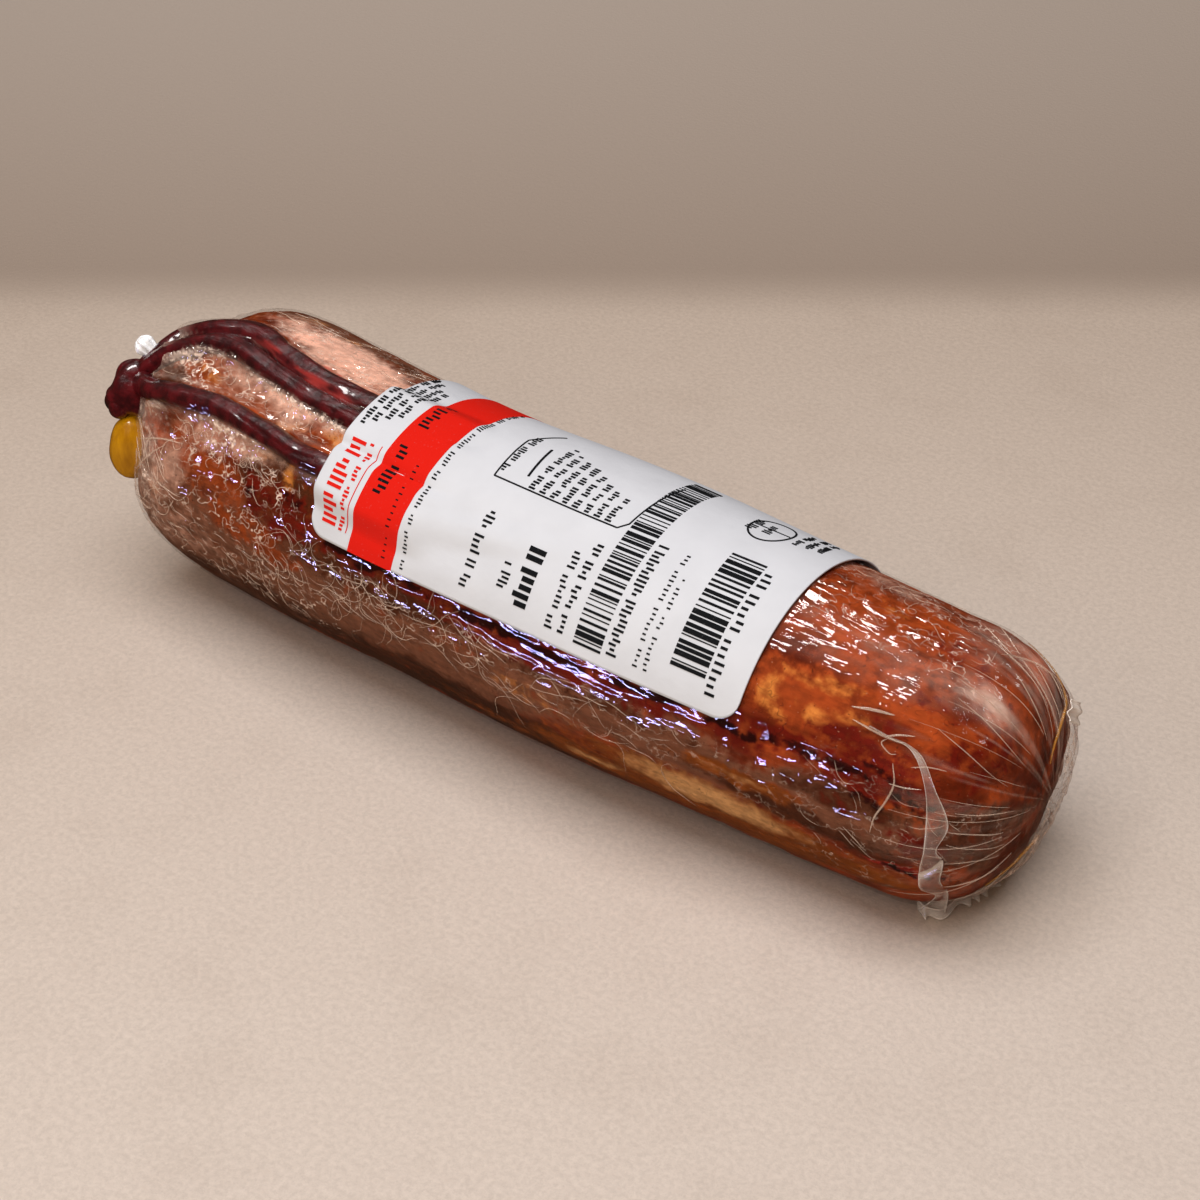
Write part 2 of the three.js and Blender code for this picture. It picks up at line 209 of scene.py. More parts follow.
def patch(station, turn, middle, half, lean, edge):
    """1 inside an oval round middle (station, turn), 0 outside; half is its half-sizes in millimetres."""
    along = station - middle[0]
    around = np.radians(turn - middle[1]) * WAIST_RADIUS
    c, s = math.cos(math.radians(lean)), math.sin(math.radians(lean))
    u, v = (along * c + around * s) / half[0], (around * c - along * s) / half[1]
    return 1 - smoothstep(np.sqrt(u * u + v * v), 1 - edge, 1 + edge)


def band(station, turn, stations, turns, ease=(4.0, 4.0)):
    """1 inside a range of stations and turns, easing to 0 over ease (millimetres, degrees)."""
    return (smoothstep(station, stations[0] - ease[0], stations[0] + ease[0])
            * (1 - smoothstep(station, stations[1] - ease[0], stations[1] + ease[0]))
            * smoothstep(turn, turns[0] - ease[1], turns[0] + ease[1])
            * (1 - smoothstep(turn, turns[1] - ease[1], turns[1] + ease[1])))


# --- Meshes -----------------------------------------------------------------------------------------

def in_frame(points):
    """Millimetres on the loin as metres in the part's own frame."""
    return (np.asarray(points, float).reshape(-1, 3) + TO_FRAME) * METRES


def new_object(name, data):
    made = bpy.data.objects.new(name, data)
    bpy.context.scene.collection.objects.link(made)
    return made


def add_field(mesh, name, values):
    """Gives each point of the mesh a value that its material reads by name."""
    layer = mesh.attributes.new(name, "FLOAT", "POINT")
    layer.data.foreach_set("value", np.asarray(values, np.float32).ravel())


def shade(mesh, smooth):
    mesh.polygons.foreach_set("use_smooth", [smooth] * len(mesh.polygons))


def plain_mesh(obj):
    """What the object's modifiers make of it, as a mesh of its own."""
    evaluated = obj.evaluated_get(bpy.context.evaluated_depsgraph_get())
    return bpy.data.meshes.new_from_object(evaluated)


def to_object(name, points, faces, fields=None, smooth=True):
    mesh = bpy.data.meshes.new(name)
    mesh.from_pydata(in_frame(points).tolist(), [], [list(map(int, face)) for face in faces])
    mesh.update()
    shade(mesh, smooth)
    for key, values in (fields or {}).items():
        add_field(mesh, key, values)
    return new_object(name, mesh)


def tube_faces(rows, columns, first=0):
    """Faces of a tube whose rings follow each other, with its normals outwards for rings that turn
    right-handed round the way they follow."""
    row, column = np.meshgrid(np.arange(rows - 1), np.arange(columns), indexing="ij")
    after = (column + 1) % columns
    a, b = row * columns + column, row * columns + after
    c, d = (row + 1) * columns + after, (row + 1) * columns + column
    return (np.stack([a, b, c, d], -1).reshape(-1, 4) + first).tolist()


def closed_tube(rings, start_tip, end_tip, flip=False):
    """Points and faces of a tube closed by a fan at each end."""
    rows, columns, _ = rings.shape
    points = np.concatenate([rings.reshape(-1, 3), [start_tip, end_tip]])
    faces = tube_faces(rows, columns)
    start, end = rows * columns, rows * columns + 1
    last = (rows - 1) * columns
    for column in range(columns):
        after = (column + 1) % columns
        faces.append([start, after, column])
        faces.append([end, last + column, last + after])
    if flip:
        faces = [face[::-1] for face in faces]
    return points, faces


def smooth_path(places, count):
    """Points evenly spread along a Catmull-Rom curve through places."""
    places = np.asarray(places, float)
    ends = np.vstack([2 * places[0] - places[1], places, 2 * places[-1] - places[-2]])
    fine = []
    for i in range(len(places) - 1):
        p0, p1, p2, p3 = ends[i:i + 4]
        t = np.linspace(0, 1, 40, endpoint=False)[:, None]
        fine.append(0.5 * (2 * p1 + (p2 - p0) * t + (2 * p0 - 5 * p1 + 4 * p2 - p3) * t ** 2
                           + (3 * p1 - p0 - 3 * p2 + p3) * t ** 3))
    fine = np.vstack(fine + [places[-1:]])
    length = np.concatenate([[0], np.cumsum(np.linalg.norm(np.diff(fine, axis=0), axis=1))])
    at = np.linspace(0, length[-1], count)
    return np.stack([np.interp(at, length, fine[:, k]) for k in range(fine.shape[1])], -1)


# --- Materials: helpers -----------------------------------------------------------------------------

def colour(code):
    """The linear colour of an sRGB hex code."""
    parts = [int(code[i:i + 2], 16) / 255 for i in (1, 3, 5)]
    return tuple(p / 12.92 if p <= 0.04045 else ((p + 0.055) / 1.055) ** 2.4 for p in parts) + (1.0,)


def feed(tree, socket, value):
    """Gives an input a value, or links it to the socket that feeds it."""
    if isinstance(value, bpy.types.NodeSocket):
        tree.links.new(value, socket)
    else:
        socket.default_value = value


def node(tree, kind, settings=None, **inputs):
    """Adds one node. Settings are its properties. Inputs go by name, or as i and their number."""
    made = tree.nodes.new(kind)
    for key, value in (settings or {}).items():
        setattr(made, key, value)
    for key, value in inputs.items():
        numbered = key[0] == "i" and key[1:].isdigit()
        feed(tree, made.inputs[int(key[1:]) if numbered else key.replace("_", " ")], value)
    return made


def new_material(name):
    made = bpy.data.materials.new(name)
    made.use_nodes = True
    made.node_tree.nodes.clear()
    return made, made.node_tree


def finish_material(tree, shader):
    node(tree, "ShaderNodeOutputMaterial", Surface=shader)


def noise(tree, per_mm, detail=3.0, stretch=(1, 1, 1), roughness=0.55):
    """A noise field on the piece's own coordinates, with per_mm lumps to a millimetre."""
    place = node(tree, "ShaderNodeTexCoord").outputs["Object"]
    scaled = node(tree, "ShaderNodeMapping", Vector=place, Scale=stretch).outputs[0]
    return node(tree, "ShaderNodeTexNoise", Vector=scaled, Scale=per_mm / METRES, Detail=detail,
                Roughness=roughness).outputs["Fac"]


def maths(tree, operation, first, second=0.0, clamp=False):
    settings = dict(operation=operation, use_clamp=clamp)
    return node(tree, "ShaderNodeMath", settings, i0=first, i1=second).outputs[0]


def mixed(tree, share, first, second, blend="MIX"):
    """The first colour carried towards the second by share; 6, 7 and 2 are the node's colour sockets."""
    settings = dict(data_type="RGBA", blend_type=blend)
    return node(tree, "ShaderNodeMix", settings, i0=share, i6=first, i7=second).outputs[2]


def field(tree, name):
    return node(tree, "ShaderNodeAttribute", dict(attribute_name=name)).outputs["Fac"]


def eased(tree, value, low, high, start=0.0, end=1.0):
    """Value carried smoothly from low..high to start..end."""
    return node(tree, "ShaderNodeMapRange", dict(interpolation_type="SMOOTHSTEP"),
                i0=value, i1=low, i2=high, i3=start, i4=end).outputs[0]


def curling_lines(tree, per_mm, width, detail=2.0, stretch=(1, 1, 1), roughness=0.5):
    """Thin curling lines, where a noise field crosses its middle; width is in noise values."""
    level = noise(tree, per_mm, detail, stretch, roughness)
    return eased(tree, maths(tree, "ABSOLUTE", maths(tree, "SUBTRACT", level, 0.5)), 0.0, width, 1.0, 0.0)


# --- Materials --------------------------------------------------------------------------------------

FLESH_TONES = (  # mask, colour, how ragged its edge is, where it begins and is full; later ones lie over
    ("brown", "#7c4c36", 1.4, 0.15, 0.80),
    ("umber", "#4c2412", 1.5, 0.20, 0.90),
    ("rust", "#8a3a14", 1.5, 0.15, 0.85),
    ("ember", "#9c4018", 1.5, 0.15, 0.85),
    ("amber", "#d2823a", 1.4, 0.15, 1.05),
    ("dusky", "#b98a74", 0.9, 0.15, 1.00),
    ("pink", "#edb69c", 0.8, 0.15, 0.85),
    ("red", "#b3241c", 1.0, 0.20, 0.70),
    ("fat_edge", "#84400f", 0.8, 0.12, 0.60),
    ("fat", "#cf9860", 0.6, 0.15, 1.00),
    ("wine", "#641408", 2.2, 0.18, 0.95),
    ("near_black", "#260605", 2.0, 0.22, 0.80),
)
SOFT_EDGED = {"fat": 0.8, "fat_edge": 0.8, "amber": 0.8, "pink": 0.7, "dusky": 0.8}  # the others are crisper
PATCH_EDGE = 0.45


def cured_flesh():
    """Air-cured pork under film: wet, translucent and mottled from amber to near-black maroon, with pale
    specks of painted glint.
    """
    made, tree = new_material("air_cured_pork")
    medium = noise(tree, 0.22, detail=5.0, roughness=0.55)
    fine = noise(tree, 0.55, detail=4.0, roughness=0.52)
    fibre = noise(tree, 0.9, detail=5.0, stretch=(0.14, 1, 1), roughness=0.6)
    blend = noise(tree, 0.16, detail=6.0, stretch=(0.5, 1, 1), roughness=0.5)
    tone = mixed(tree, eased(tree, blend, 0.32, 0.70), colour("#64200a"), colour("#ac481c"))
    ragged = maths(tree, "ADD", maths(tree, "SUBTRACT", medium, 0.5),
                   maths(tree, "MULTIPLY", maths(tree, "SUBTRACT", fine, 0.5), 0.9))
    for name, code, raggedness, begins, full in FLESH_TONES:
        reach = maths(tree, "ADD", field(tree, name), maths(tree, "MULTIPLY", ragged, raggedness))
        reach = maths(tree, "MINIMUM", reach, maths(tree, "MULTIPLY", field(tree, name), 4.0))
        tone = mixed(tree, eased(tree, reach, begins, full), tone, colour(code))
    grain = maths(tree, "ADD", maths(tree, "MULTIPLY", fine, 0.5), maths(tree, "MULTIPLY", fibre, 0.5))
    tone = mixed(tree, 1.0, tone, eased(tree, grain, 0.36, 0.64, 0.76, 1.2), "MULTIPLY")
    veins = maths(tree, "MULTIPLY", curling_lines(tree, 0.14, 0.008, 3.0), eased(tree, fine, 0.42, 0.56))
    tone = mixed(tree, maths(tree, "MULTIPLY", veins, 0.5), tone, colour("#2a0b06"))
    dark_specks = eased(tree, noise(tree, 1.4, detail=2.0), 0.68, 0.74)
    tone = mixed(tree, maths(tree, "MULTIPLY", dark_specks, 0.6), tone, colour("#230a06"))
    # Pale specks painted into the meat's colour: painted glints.
    painted_glint_specks = eased(tree, noise(tree, 2.6, detail=2.0), 0.72, 0.78)
    tone = mixed(tree, maths(tree, "MULTIPLY", painted_glint_specks, 0.6), tone, colour("#f0c8a4"))
    bump = node(tree, "ShaderNodeBump", Height=grain, Strength=0.4, Distance=0.0006)
    surface = node(tree, "ShaderNodeBsdfPrincipled", Base_Color=tone, Roughness=0.45, Normal=bump.outputs[0])
    surface.inputs["Specular IOR Level"].default_value = 0.15
    finish_material(tree, surface.outputs[0])
    return made


FILM_IOR, FILM_MOST_MIRRORED, FILM_ROUGHNESS = 1.5, 0.13, 0.012


def clear_film():
    """Thin clear vacuum film: invisible where it clings, a sharp broken gloss on it, milky in its folds, with
    a painted highlight and a painted sheen at the far end.
    """
    made, tree = new_material("clear_vacuum_film")
    ripple = noise(tree, 0.42, detail=1.2, stretch=(0.28, 1, 1), roughness=0.4)
    pucker = noise(tree, 0.9, detail=1.5, stretch=(0.7, 1, 1), roughness=0.45)
    streak = noise(tree, 1.1, detail=1.0, stretch=(0.09, 1, 1), roughness=0.4)
    puckered = maths(tree, "ADD", field(tree, "frost"), 0.12)
    height = maths(tree, "ADD", ripple, maths(tree, "MULTIPLY", pucker, puckered))
    height = maths(tree, "ADD", height, maths(tree, "MULTIPLY", streak, field(tree, "drawn")))
    height = maths(tree, "MULTIPLY", height, eased(tree, field(tree, "loose"), 0.0, 1.0, 0.36, 1.0))
    bump = node(tree, "ShaderNodeBump", Height=height, Strength=1.0, Distance=0.0010).outputs[0]
    fresnel = node(tree, "ShaderNodeFresnel", IOR=FILM_IOR, Normal=bump).outputs[0]
    mirrored = maths(tree, "MINIMUM", fresnel, FILM_MOST_MIRRORED)
    gloss = node(tree, "ShaderNodeBsdfAnisotropic", Color=colour("#ffffff"), Roughness=FILM_ROUGHNESS,
                 Normal=bump).outputs[0]
    clear = node(tree, "ShaderNodeBsdfTransparent", Color=colour("#ffffff")).outputs[0]
    glossy = node(tree, "ShaderNodeMixShader", i0=mirrored, i1=clear, i2=gloss).outputs[0]
    veil = node(tree, "ShaderNodeBsdfDiffuse", Color=colour("#f0d4c0"), Normal=bump).outputs[0]
    threads = maths(tree, "MULTIPLY", curling_lines(tree, 0.34, 0.022, 2.0, (0.7, 1, 1), 0.6),
                    eased(tree, noise(tree, 0.35, 2.0), 0.38, 0.54))
    pebbles = eased(tree, noise(tree, 0.9, 3.0, roughness=0.6), 0.50, 0.62)
    # The white also carries the painted highlight and painted sheen of the milk field.
    haze_and_painted_sheen = maths(tree, "ADD", field(tree, "milk_and_painted_sheen"), maths(tree, "MULTIPLY", field(tree, "frost"), pebbles))
    haze_and_painted_sheen = maths(tree, "ADD", haze_and_painted_sheen, maths(tree, "MULTIPLY", field(tree, "threads"), threads), True)
    finish_material(tree, node(tree, "ShaderNodeMixShader", i0=haze_and_painted_sheen, i1=glossy, i2=veil).outputs[0])
    return made


def folded_film(name, cover, code, roughness=0.14):
    """The same film folded on itself: still glossy, and whiter the more layers there are."""
    made, tree = new_material(name)
    cloud = noise(tree, 0.5, detail=3.0)
    bump = node(tree, "ShaderNodeBump", Height=cloud, Strength=0.5, Distance=0.0005).outputs[0]
    thickness = maths(tree, "ADD", cover, field(tree, "cover"))
    uneven = maths(tree, "ADD", 0.55, maths(tree, "MULTIPLY", cloud, 0.9))
    alpha = maths(tree, "MULTIPLY", thickness, uneven, True)
    surface = node(tree, "ShaderNodeBsdfPrincipled", Base_Color=colour(code), Roughness=roughness,
                   Alpha=alpha, Normal=bump)
    finish_material(tree, surface.outputs[0])
    return made


def wet_cord():
    """Dark cured cord, wet under the film: near-black maroon, painted redder on its high spots as painted
    light, and with a painted red highlight down one flank of the back cord.
    """
    made, tree = new_material("wet_cured_cord")
    lumps = noise(tree, 0.4, detail=6.0, roughness=0.6)
    pores = noise(tree, 2.0, detail=4.0, stretch=(0.5, 1, 1))
    tone = mixed(tree, eased(tree, lumps, 0.36, 0.66), colour("#190205"), colour("#520c12"))
    # Painted light: redder on the cords' side that faces up and away from the loin, and on the knot's lumps
    # that stand out.
    tone = mixed(tree, maths(tree, "MULTIPLY", field(tree, "painted_light_on_high_spots"), 0.25), tone, colour("#7c2226"))
    # A painted red highlight down one flank of the back cord.
    tone = mixed(tree, field(tree, "painted_red_highlight"), tone, colour("#c8423c"))
    height = maths(tree, "ADD", lumps, maths(tree, "MULTIPLY", pores, 0.3))
    bump = node(tree, "ShaderNodeBump", Height=height, Strength=0.5, Distance=0.0006).outputs[0]
    surface = node(tree, "ShaderNodeBsdfPrincipled", Base_Color=tone, Roughness=0.36, Normal=bump)
    surface.inputs["Specular IOR Level"].default_value = 0.15
    surface.inputs["Coat Weight"].default_value = 0.85
    surface.inputs["Coat Roughness"].default_value = 0.08
    finish_material(tree, surface.outputs[0])
    return made


def golden_fat():
    """A golden, waxy lobe of fat with paler streaks down it."""
    made, tree = new_material("golden_fat")
    streaks = noise(tree, 0.5, detail=4.0, stretch=(1, 1, 0.25))
    tone = mixed(tree, streaks, colour("#7e4200"), colour("#f0ae10"))
    bump = node(tree, "ShaderNodeBump", Height=streaks, Strength=0.4, Distance=0.0006).outputs[0]
    surface = node(tree, "ShaderNodeBsdfPrincipled", Base_Color=tone, Roughness=0.25, Normal=bump)
    surface.inputs["Coat Weight"].default_value = 0.5
    finish_material(tree, surface.outputs[0])
    return made


def label_paper():
    """Smooth coated label paper: cool white with a faint sheen and a fine fibre."""
    made, tree = new_material("coated_label_paper")
    fibre = noise(tree, 3.0, detail=3.0)
    cloud = noise(tree, 0.12, detail=3.0)
    tone = mixed(tree, cloud, colour("#ced0d4"), colour("#dddfe3"))
    height = maths(tree, "ADD", cloud, maths(tree, "MULTIPLY", fibre, 0.05))
    bump = node(tree, "ShaderNodeBump", Height=height, Strength=0.35, Distance=0.0008).outputs[0]
    surface = node(tree, "ShaderNodeBsdfPrincipled", Base_Color=tone, Roughness=0.55, Normal=bump)
    surface.inputs["Specular IOR Level"].default_value = 0.25
    finish_material(tree, surface.outputs[0])
    return made


def print_ink(name, code):
    """Matt printing ink, a little worn so that the paper shows through in specks."""
    made, tree = new_material(name)
    worn = eased(tree, noise(tree, 2.5, 3.0), 0.64, 0.74)
    tone = mixed(tree, maths(tree, "MULTIPLY", worn, 0.10), colour(code), colour("#c8c8c8"))
    surface = node(tree, "ShaderNodeBsdfPrincipled", Base_Color=tone, Roughness=0.6)
    surface.inputs["Specular IOR Level"].default_value = 0.12
    finish_material(tree, surface.outputs[0])
    return made


# --- The grid that the film and the meat share ------------------------------------------------------

ROW_STEP = 0.53  # millimetres from one ring to the next
SEEN_TURNS, SEEN_STEP, HIDDEN_STEP = (48.0, 236.0), 1.12, 3.6  # degrees; finer on the side that shows
POLE_REACH = 0.12  # share of the loin's radius below which a ring counts as near a pole


def ring_stations():
    """Stations of the rings, evenly spaced along the outline, closer in X towards each pole."""
    sweep = np.linspace(0.004, np.pi / 2, 400)
    knot_side = KNOT_END + KNOT_CAP[0] * (1 - np.cos(sweep) ** (2 / KNOT_CAP[1]))
    far_side = FAR_END - FAR_CAP[0] * (1 - np.cos(sweep) ** (2 / FAR_CAP[1]))
    fine = np.concatenate([knot_side, np.linspace(knot_side[-1], far_side[-1], 800)[1:-1], far_side[::-1]])
    radius, _, rounding = section(fine)
    reach = radius * rounding
    length = np.concatenate([[0], np.cumsum(np.hypot(np.diff(fine), np.diff(reach)))])
    rows = int(length[-1] / ROW_STEP)
    return np.interp(np.linspace(0, length[-1], rows), length, fine)


def ring_turns():
    seen = np.arange(SEEN_TURNS[0], SEEN_TURNS[1], SEEN_STEP)
    hidden = np.arange(SEEN_TURNS[1], SEEN_TURNS[0] + 360, HIDDEN_STEP)
    return np.concatenate([seen, hidden]) % 360


STATION, TURN = np.meshgrid(ring_stations(), ring_turns(), indexing="ij")
ANGLE = np.radians(TURN)
SKIN = loin_point(STATION, ANGLE)
OUTWARDS = loin_outwards(STATION, ANGLE)
RADIUS, _, ROUNDING = section(STATION)
NEAR_POLE = 1 - np.minimum(ROUNDING / POLE_REACH, 1)  # 1 at each pole, 0 away from it


def shell(name, lift, fields, floor):
    """A closed skin over the loin, lifted off its surface by lift, and lying on the floor."""
    places = SKIN + OUTWARDS * lift[..., None]
    places[..., 2] = np.maximum(places[..., 2], floor)
    tips = [row.mean(axis=0) for row in (places[0], places[-1])]
    points, faces = closed_tube(places, *tips)
    ends = {key: np.concatenate([value.ravel(), [value[0].mean(), value[-1].mean()]])
            for key, value in fields.items()}
    return to_object(name, points, faces, ends)


# --- How the strands and the film's tents rise ------------------------------------------------------

CLING = 0.12  # how much wider than a strand the film over it is
CROWN_REACH, SLOPE_REACH = 0.86, 2.0  # in radii: where the film leaves a strand and meets the loin again
LABEL_EDGE = (-46, -36)  # stations over which the label presses the film's rise down
OVER_CORD = (-93, -44), (80, 150), (2, 5)  # stations, turns and ease of the strands that show


def strand_place(name, station):
    """Turn and height of a strand's middle at each station, and its radius."""
    radius, route = STRANDS[name]
    stations, turns, heights = zip(*route)
    return np.interp(station, stations, turns), np.interp(station, stations, heights), radius


def strand_rise(station, angle, level, foot, extra):
    """How much the strands raise what lies over them."""
    rise = np.zeros(np.shape(angle))
    for name, (strand_radius, route) in STRANDS.items():
        turn, height, _ = strand_place(name, station)
        aside = section(station)[0] * np.abs(angle - np.radians(turn))
        flank = 1 - smoothstep(aside, level, foot)
        past = np.asarray(station) - route[-1][0]
        fade = 1 - smoothstep(past, RIDGE["fade_from"], RIDGE["fade_to"])
        rise = np.maximum(rise, (strand_radius + height + extra) * flank * fade)
    return rise


def film_over_strands(station, angle):
    """The film's own rise over the strands, which it bridges with a short slope on each side."""
    rise = np.zeros(np.shape(angle))
    for name, (strand_radius, route) in STRANDS.items():
        turn, height, _ = strand_place(name, station)
        aside = section(station)[0] * np.abs(angle - np.radians(turn)) / (strand_radius + CLING)
        arch = np.sqrt(np.clip(1 - np.minimum(aside, CROWN_REACH) ** 2, 0, 1))
        crown = arch * (strand_radius + CLING) + height
        slope = 1 - smoothstep(aside, CROWN_REACH, SLOPE_REACH)
        first = route[0][0]
        ends = smoothstep(station, first - 2, first + 2) * (1 - smoothstep(station, *LABEL_EDGE))
        rise = np.maximum(rise, crown * slope * ends)
    return rise


# --- The meat ---------------------------------------------------------------------------------------

WARP_LUMPS, WARP_ALONG, WARP_ROUND = 7.0, 6.0, 10.0  # millimetres, millimetres and degrees
WARPED_STATION = STATION + (layered_noise(SKIN, WARP_LUMPS, 11) - 0.5) * WARP_ALONG
WARPED_TURN = TURN + (layered_noise(SKIN, WARP_LUMPS, 23) - 0.5) * WARP_ROUND

FLESH_PATCHES = {  # station and turn of the middle, half-sizes in mm, lean in degrees, strength
    "brown": (((-66, 190), (44, 14), 0, 1.0), ((-20, 186), (34, 9), 0, 0.9),
              ((-78, 172), (20, 8), 0, 0.7),
              ((24, 177), (32, 6), 3, 0.95), ((-60, 300), (60, 40), 0, 0.7),
              ((40, 300), (60, 40), 0, 0.6),
              ((-70, 62), (26, 7), 0, 0.7), ((63, 177), (19, 6), -3, 0.95), ((86, 182), (6, 14), 0, 0.6)),
    "umber": (((-90, 122), (4, 6), 0, 0.9), ((-58, 151), (12, 8), 12, 0.9),
              ((-86, 112), (6, 5), 0, 0.7), ((-62, 212), (34, 7), 0, 0.75),
              ((-86, 66), (7, 5), 30, 0.7), ((-52, 167), (14, 5), 0, 0.7), ((-30, 166), (24, 5), 0, 0.8),
              ((-82, 146), (7, 3), 10, 0.5), ((56, 185.5), (20, 2.0), 4, 0.95),
              ((20, 172), (20, 2.6), 0, 0.6),
              ((66, 170), (14, 3.4), -4, 0.8), ((72, 186), (10, 4), 0, 0.6),
              ((-10, 209), (52, 6), 0, 1.0), ((84, 178), (5, 12), 0, 0.6), ((40, 212), (30, 3), 0, 0.6),
              ((66, 102), (3, 3), 0, 0.55), ((-58, 66), (12, 2.4), -24, 0.55),
              ((84, 166), (4, 10), 0, 0.5)),
    "rust": (((-73, 158), (9, 5), 14, 0.7), ((-62, 173), (14, 3.4), 4, 0.8),
             ((-72, 122.5), (20, 1.8), 0, 0.9),
             ((-57, 87), (9, 1.8), 0, 0.85), ((-82, 117), (6, 3), 0, 0.6),
             ((-80, 144), (5, 2), 0, 0.7), ((64, 204), (18, 3.5), 4, 0.9),
             ((-12, 177), (7, 2), 0, 0.35), ((50, 179), (10, 1.6), 0, 0.7),
             ((-88, 74), (3, 6), 0, 0.7), ((26, 196), (18, 3), 0, 0.6)),
    "ember": (((54, 137), (11, 6), 0, 0.8), ((60, 92), (15, 7), 0, 0.8), ((72, 131), (7, 5), 0, 0.5),
              ((66, 112), (12, 8), 0, 0.6)),
    "amber": (((57, 142.5), (3.4, 1.5), 20, 0.7), ((50, 147), (3.6, 1.4), 10, 0.55),
              ((60, 128), (4.5, 1.5), -10, 0.55),
              ((52, 130), (3.4, 1.2), 0, 0.5), ((48, 139), (1.6, 3), 20, 0.55),
              ((63, 138), (3, 2), 0, 0.45),
              ((-56.5, 143), (1.3, 4.6), 0, 0.8), ((-63, 139), (2.6, 1.0), 0, 0.6),
              ((-84, 121), (3.5, 1.2), 0, 0.6),
              ((-51, 119.5), (3, 1.4), 0, 0.9), ((5, 184), (8, 1.6), 8, 0.38),
              ((48, 180), (7, 0.9), 0, 0.6), ((-88, 172), (1.4, 2.6), 20, 0.7),
              ((-62, 122), (4, 1.0), 0, 0.6),
              ((-80, 66), (2.4, 3), 40, 0.5), ((-68, 66), (3, 1.4), -30, 0.6),
              ((60, 84), (5, 2), 0, 0.35)),
    "dusky": (((-84, 188), (14, 7), 0, 0.45), ((-85, 163), (4.5, 8), 36, 0.95),
              ((-66, 116), (18, 3.4), 0, 0.85), ((-70, 139), (12, 4), -6, 0.7),
              ((-78, 70), (10, 3), 0, 0.6), ((52, 64), (9, 6), 0, 0.6), ((70, 66), (10, 5), 0, 0.4)),
    "pink": (((-64, 80), (17, 5.0), 2, 1.0), ((-61, 92), (12, 1.6), 0, 0.7),
             ((-63, 114), (9, 2.0), 0, 0.7)),
    "red": (((-67, 94), (14, 0.8), 0, 0.6), ((75, 196), (6, 1.0), 20, 0.6),
            ((-38, 160), (6, 1.0), 0, 0.5)),
    "fat_edge": (((44, 201), (24, 4.6), 3, 1.0), ((18, 207), (14, 3), 3, 0.9),
                 ((46, 180), (11, 1.6), 0, 0.8),
                 ((64, 202), (14, 2.4), 10, 0.8), ((-6, 210), (14, 2), 3, 0.4),
                 ((44, 212), (30, 3), 0, 0.7)),
    "fat": (((41, 197.5), (15, 3.2), 2, 1.0), ((17, 206), (5, 1.5), -8, 0.8),
            ((46, 180), (7, 0.8), 0, 0.45)),
    "wine": (((67, 149), (10, 3.2), 6, 0.8), ((73, 143), (5, 2.4), -20, 0.6),
             ((52, 157), (16, 2.2), 0, 0.9), ((-30, 160), (22, 2.0), 0, 0.85),
             ((8, 163), (26, 3.4), 0, 0.95), ((38, 162), (16, 2.4), 0, 0.8),
             ((72, 158), (12, 3.6), -4, 1.0),
             ((70, 134), (5, 2.4), 0, 0.6), ((-56, 157), (10, 5), 6, 0.8), ((64, 172), (10, 1.6), 0, 0.4),
             ((80, 104), (4, 8), 0, 0.35), ((74, 90), (8, 4), 0, 0.4), ((78, 184), (4, 6), 0, 0.6),
             ((81, 126), (6, 14), 0, 0.5), ((74, 118), (9, 2.2), -8, 0.5)),
    # Thin near-black lines run just under the label's lower edge, with near-black spots by the cords and at
    # the far end.
    "near_black": (((-32, 159.5), (14, 1.2), 0, 0.9), ((2, 161), (18, 1.1), 0, 0.9),
             ((34, 160), (18, 1.1), 0, 0.9),
             ((60, 158), (10, 1.0), 0, 0.6), ((72, 154), (6, 1.0), 10, 0.6),
             ((72, 166), (6, 1.0), -10, 0.6),
             ((-60, 158), (7, 1.8), 0, 0.35), ((-55, 150), (4, 2.0), 30, 0.3),
             ((77, 160), (4, 1.2), 0, 0.8),
             ((76, 197), (5, 0.9), 20, 0.6), ((-66, 148), (3, 1.4), 0, 0.25)),
}


def flesh_fields():
    """How strongly each of the meat's tones shows at each point."""
    fields = {}
    for name, patches in FLESH_PATCHES.items():
        edge = SOFT_EDGED.get(name, PATCH_EDGE)
        total = np.zeros(STATION.shape)
        for middle, half, lean, strength in patches:
            shape = patch(WARPED_STATION, WARPED_TURN, middle, half, lean, edge)
            total = np.maximum(total, strength * shape)
        fields[name] = total
    return fields


MEAT_SINK = dict(least=0.16, rough=0.34, folds=0.22, far_end=1.7, knot_end=0.5)


def flesh_sink():
    """How far the meat lies under the film: everywhere a little, more at the loose right-hand end."""
    rough = layered_noise(SKIN, (5.0, 3.0, 3.0), 5, layers=4)
    folds = np.abs(lattice_noise(SKIN, (9.0, 3.6, 3.6), 8) - 0.5) * 2
    away_side = 0.4 + 0.6 * smoothstep(np.cos(ANGLE), -0.5, 0.6)
    sink = MEAT_SINK["least"] + MEAT_SINK["rough"] * (1 - rough) + MEAT_SINK["folds"] * (1 - folds) ** 4
    sink = sink + MEAT_SINK["far_end"] * smoothstep(STATION, 83, 89) * away_side
    return sink + MEAT_SINK["knot_end"] * band(STATION, TURN, (-99, -90), (135, 180), (3, 12))


def make_flesh():
    return shell("cured_loin", -flesh_sink(), flesh_fields(), FILM_ON_FLOOR + MEAT_OVER_FILM)


# --- The film ---------------------------------------------------------------------------------------

def crests(size, seed, layers=3, width=0.10):
    """Sharp-topped folds over the loin: 1 along thin crests, 0 in the broad hollows between them."""
    value = layered_noise(SKIN, size, seed, layers)
    return 1 - smoothstep(np.abs(value - 0.5), 0, width)


GATHERS = dict(every=8.5, astray=3, lean=0.35, start=(62, 78), height=(0.1, 0.34), width=(0.35, 0.7))
RELIEF = dict(long_folds=0.20, short_folds=0.26, blots=0.50, dimples=0.22)  # heights in millimetres


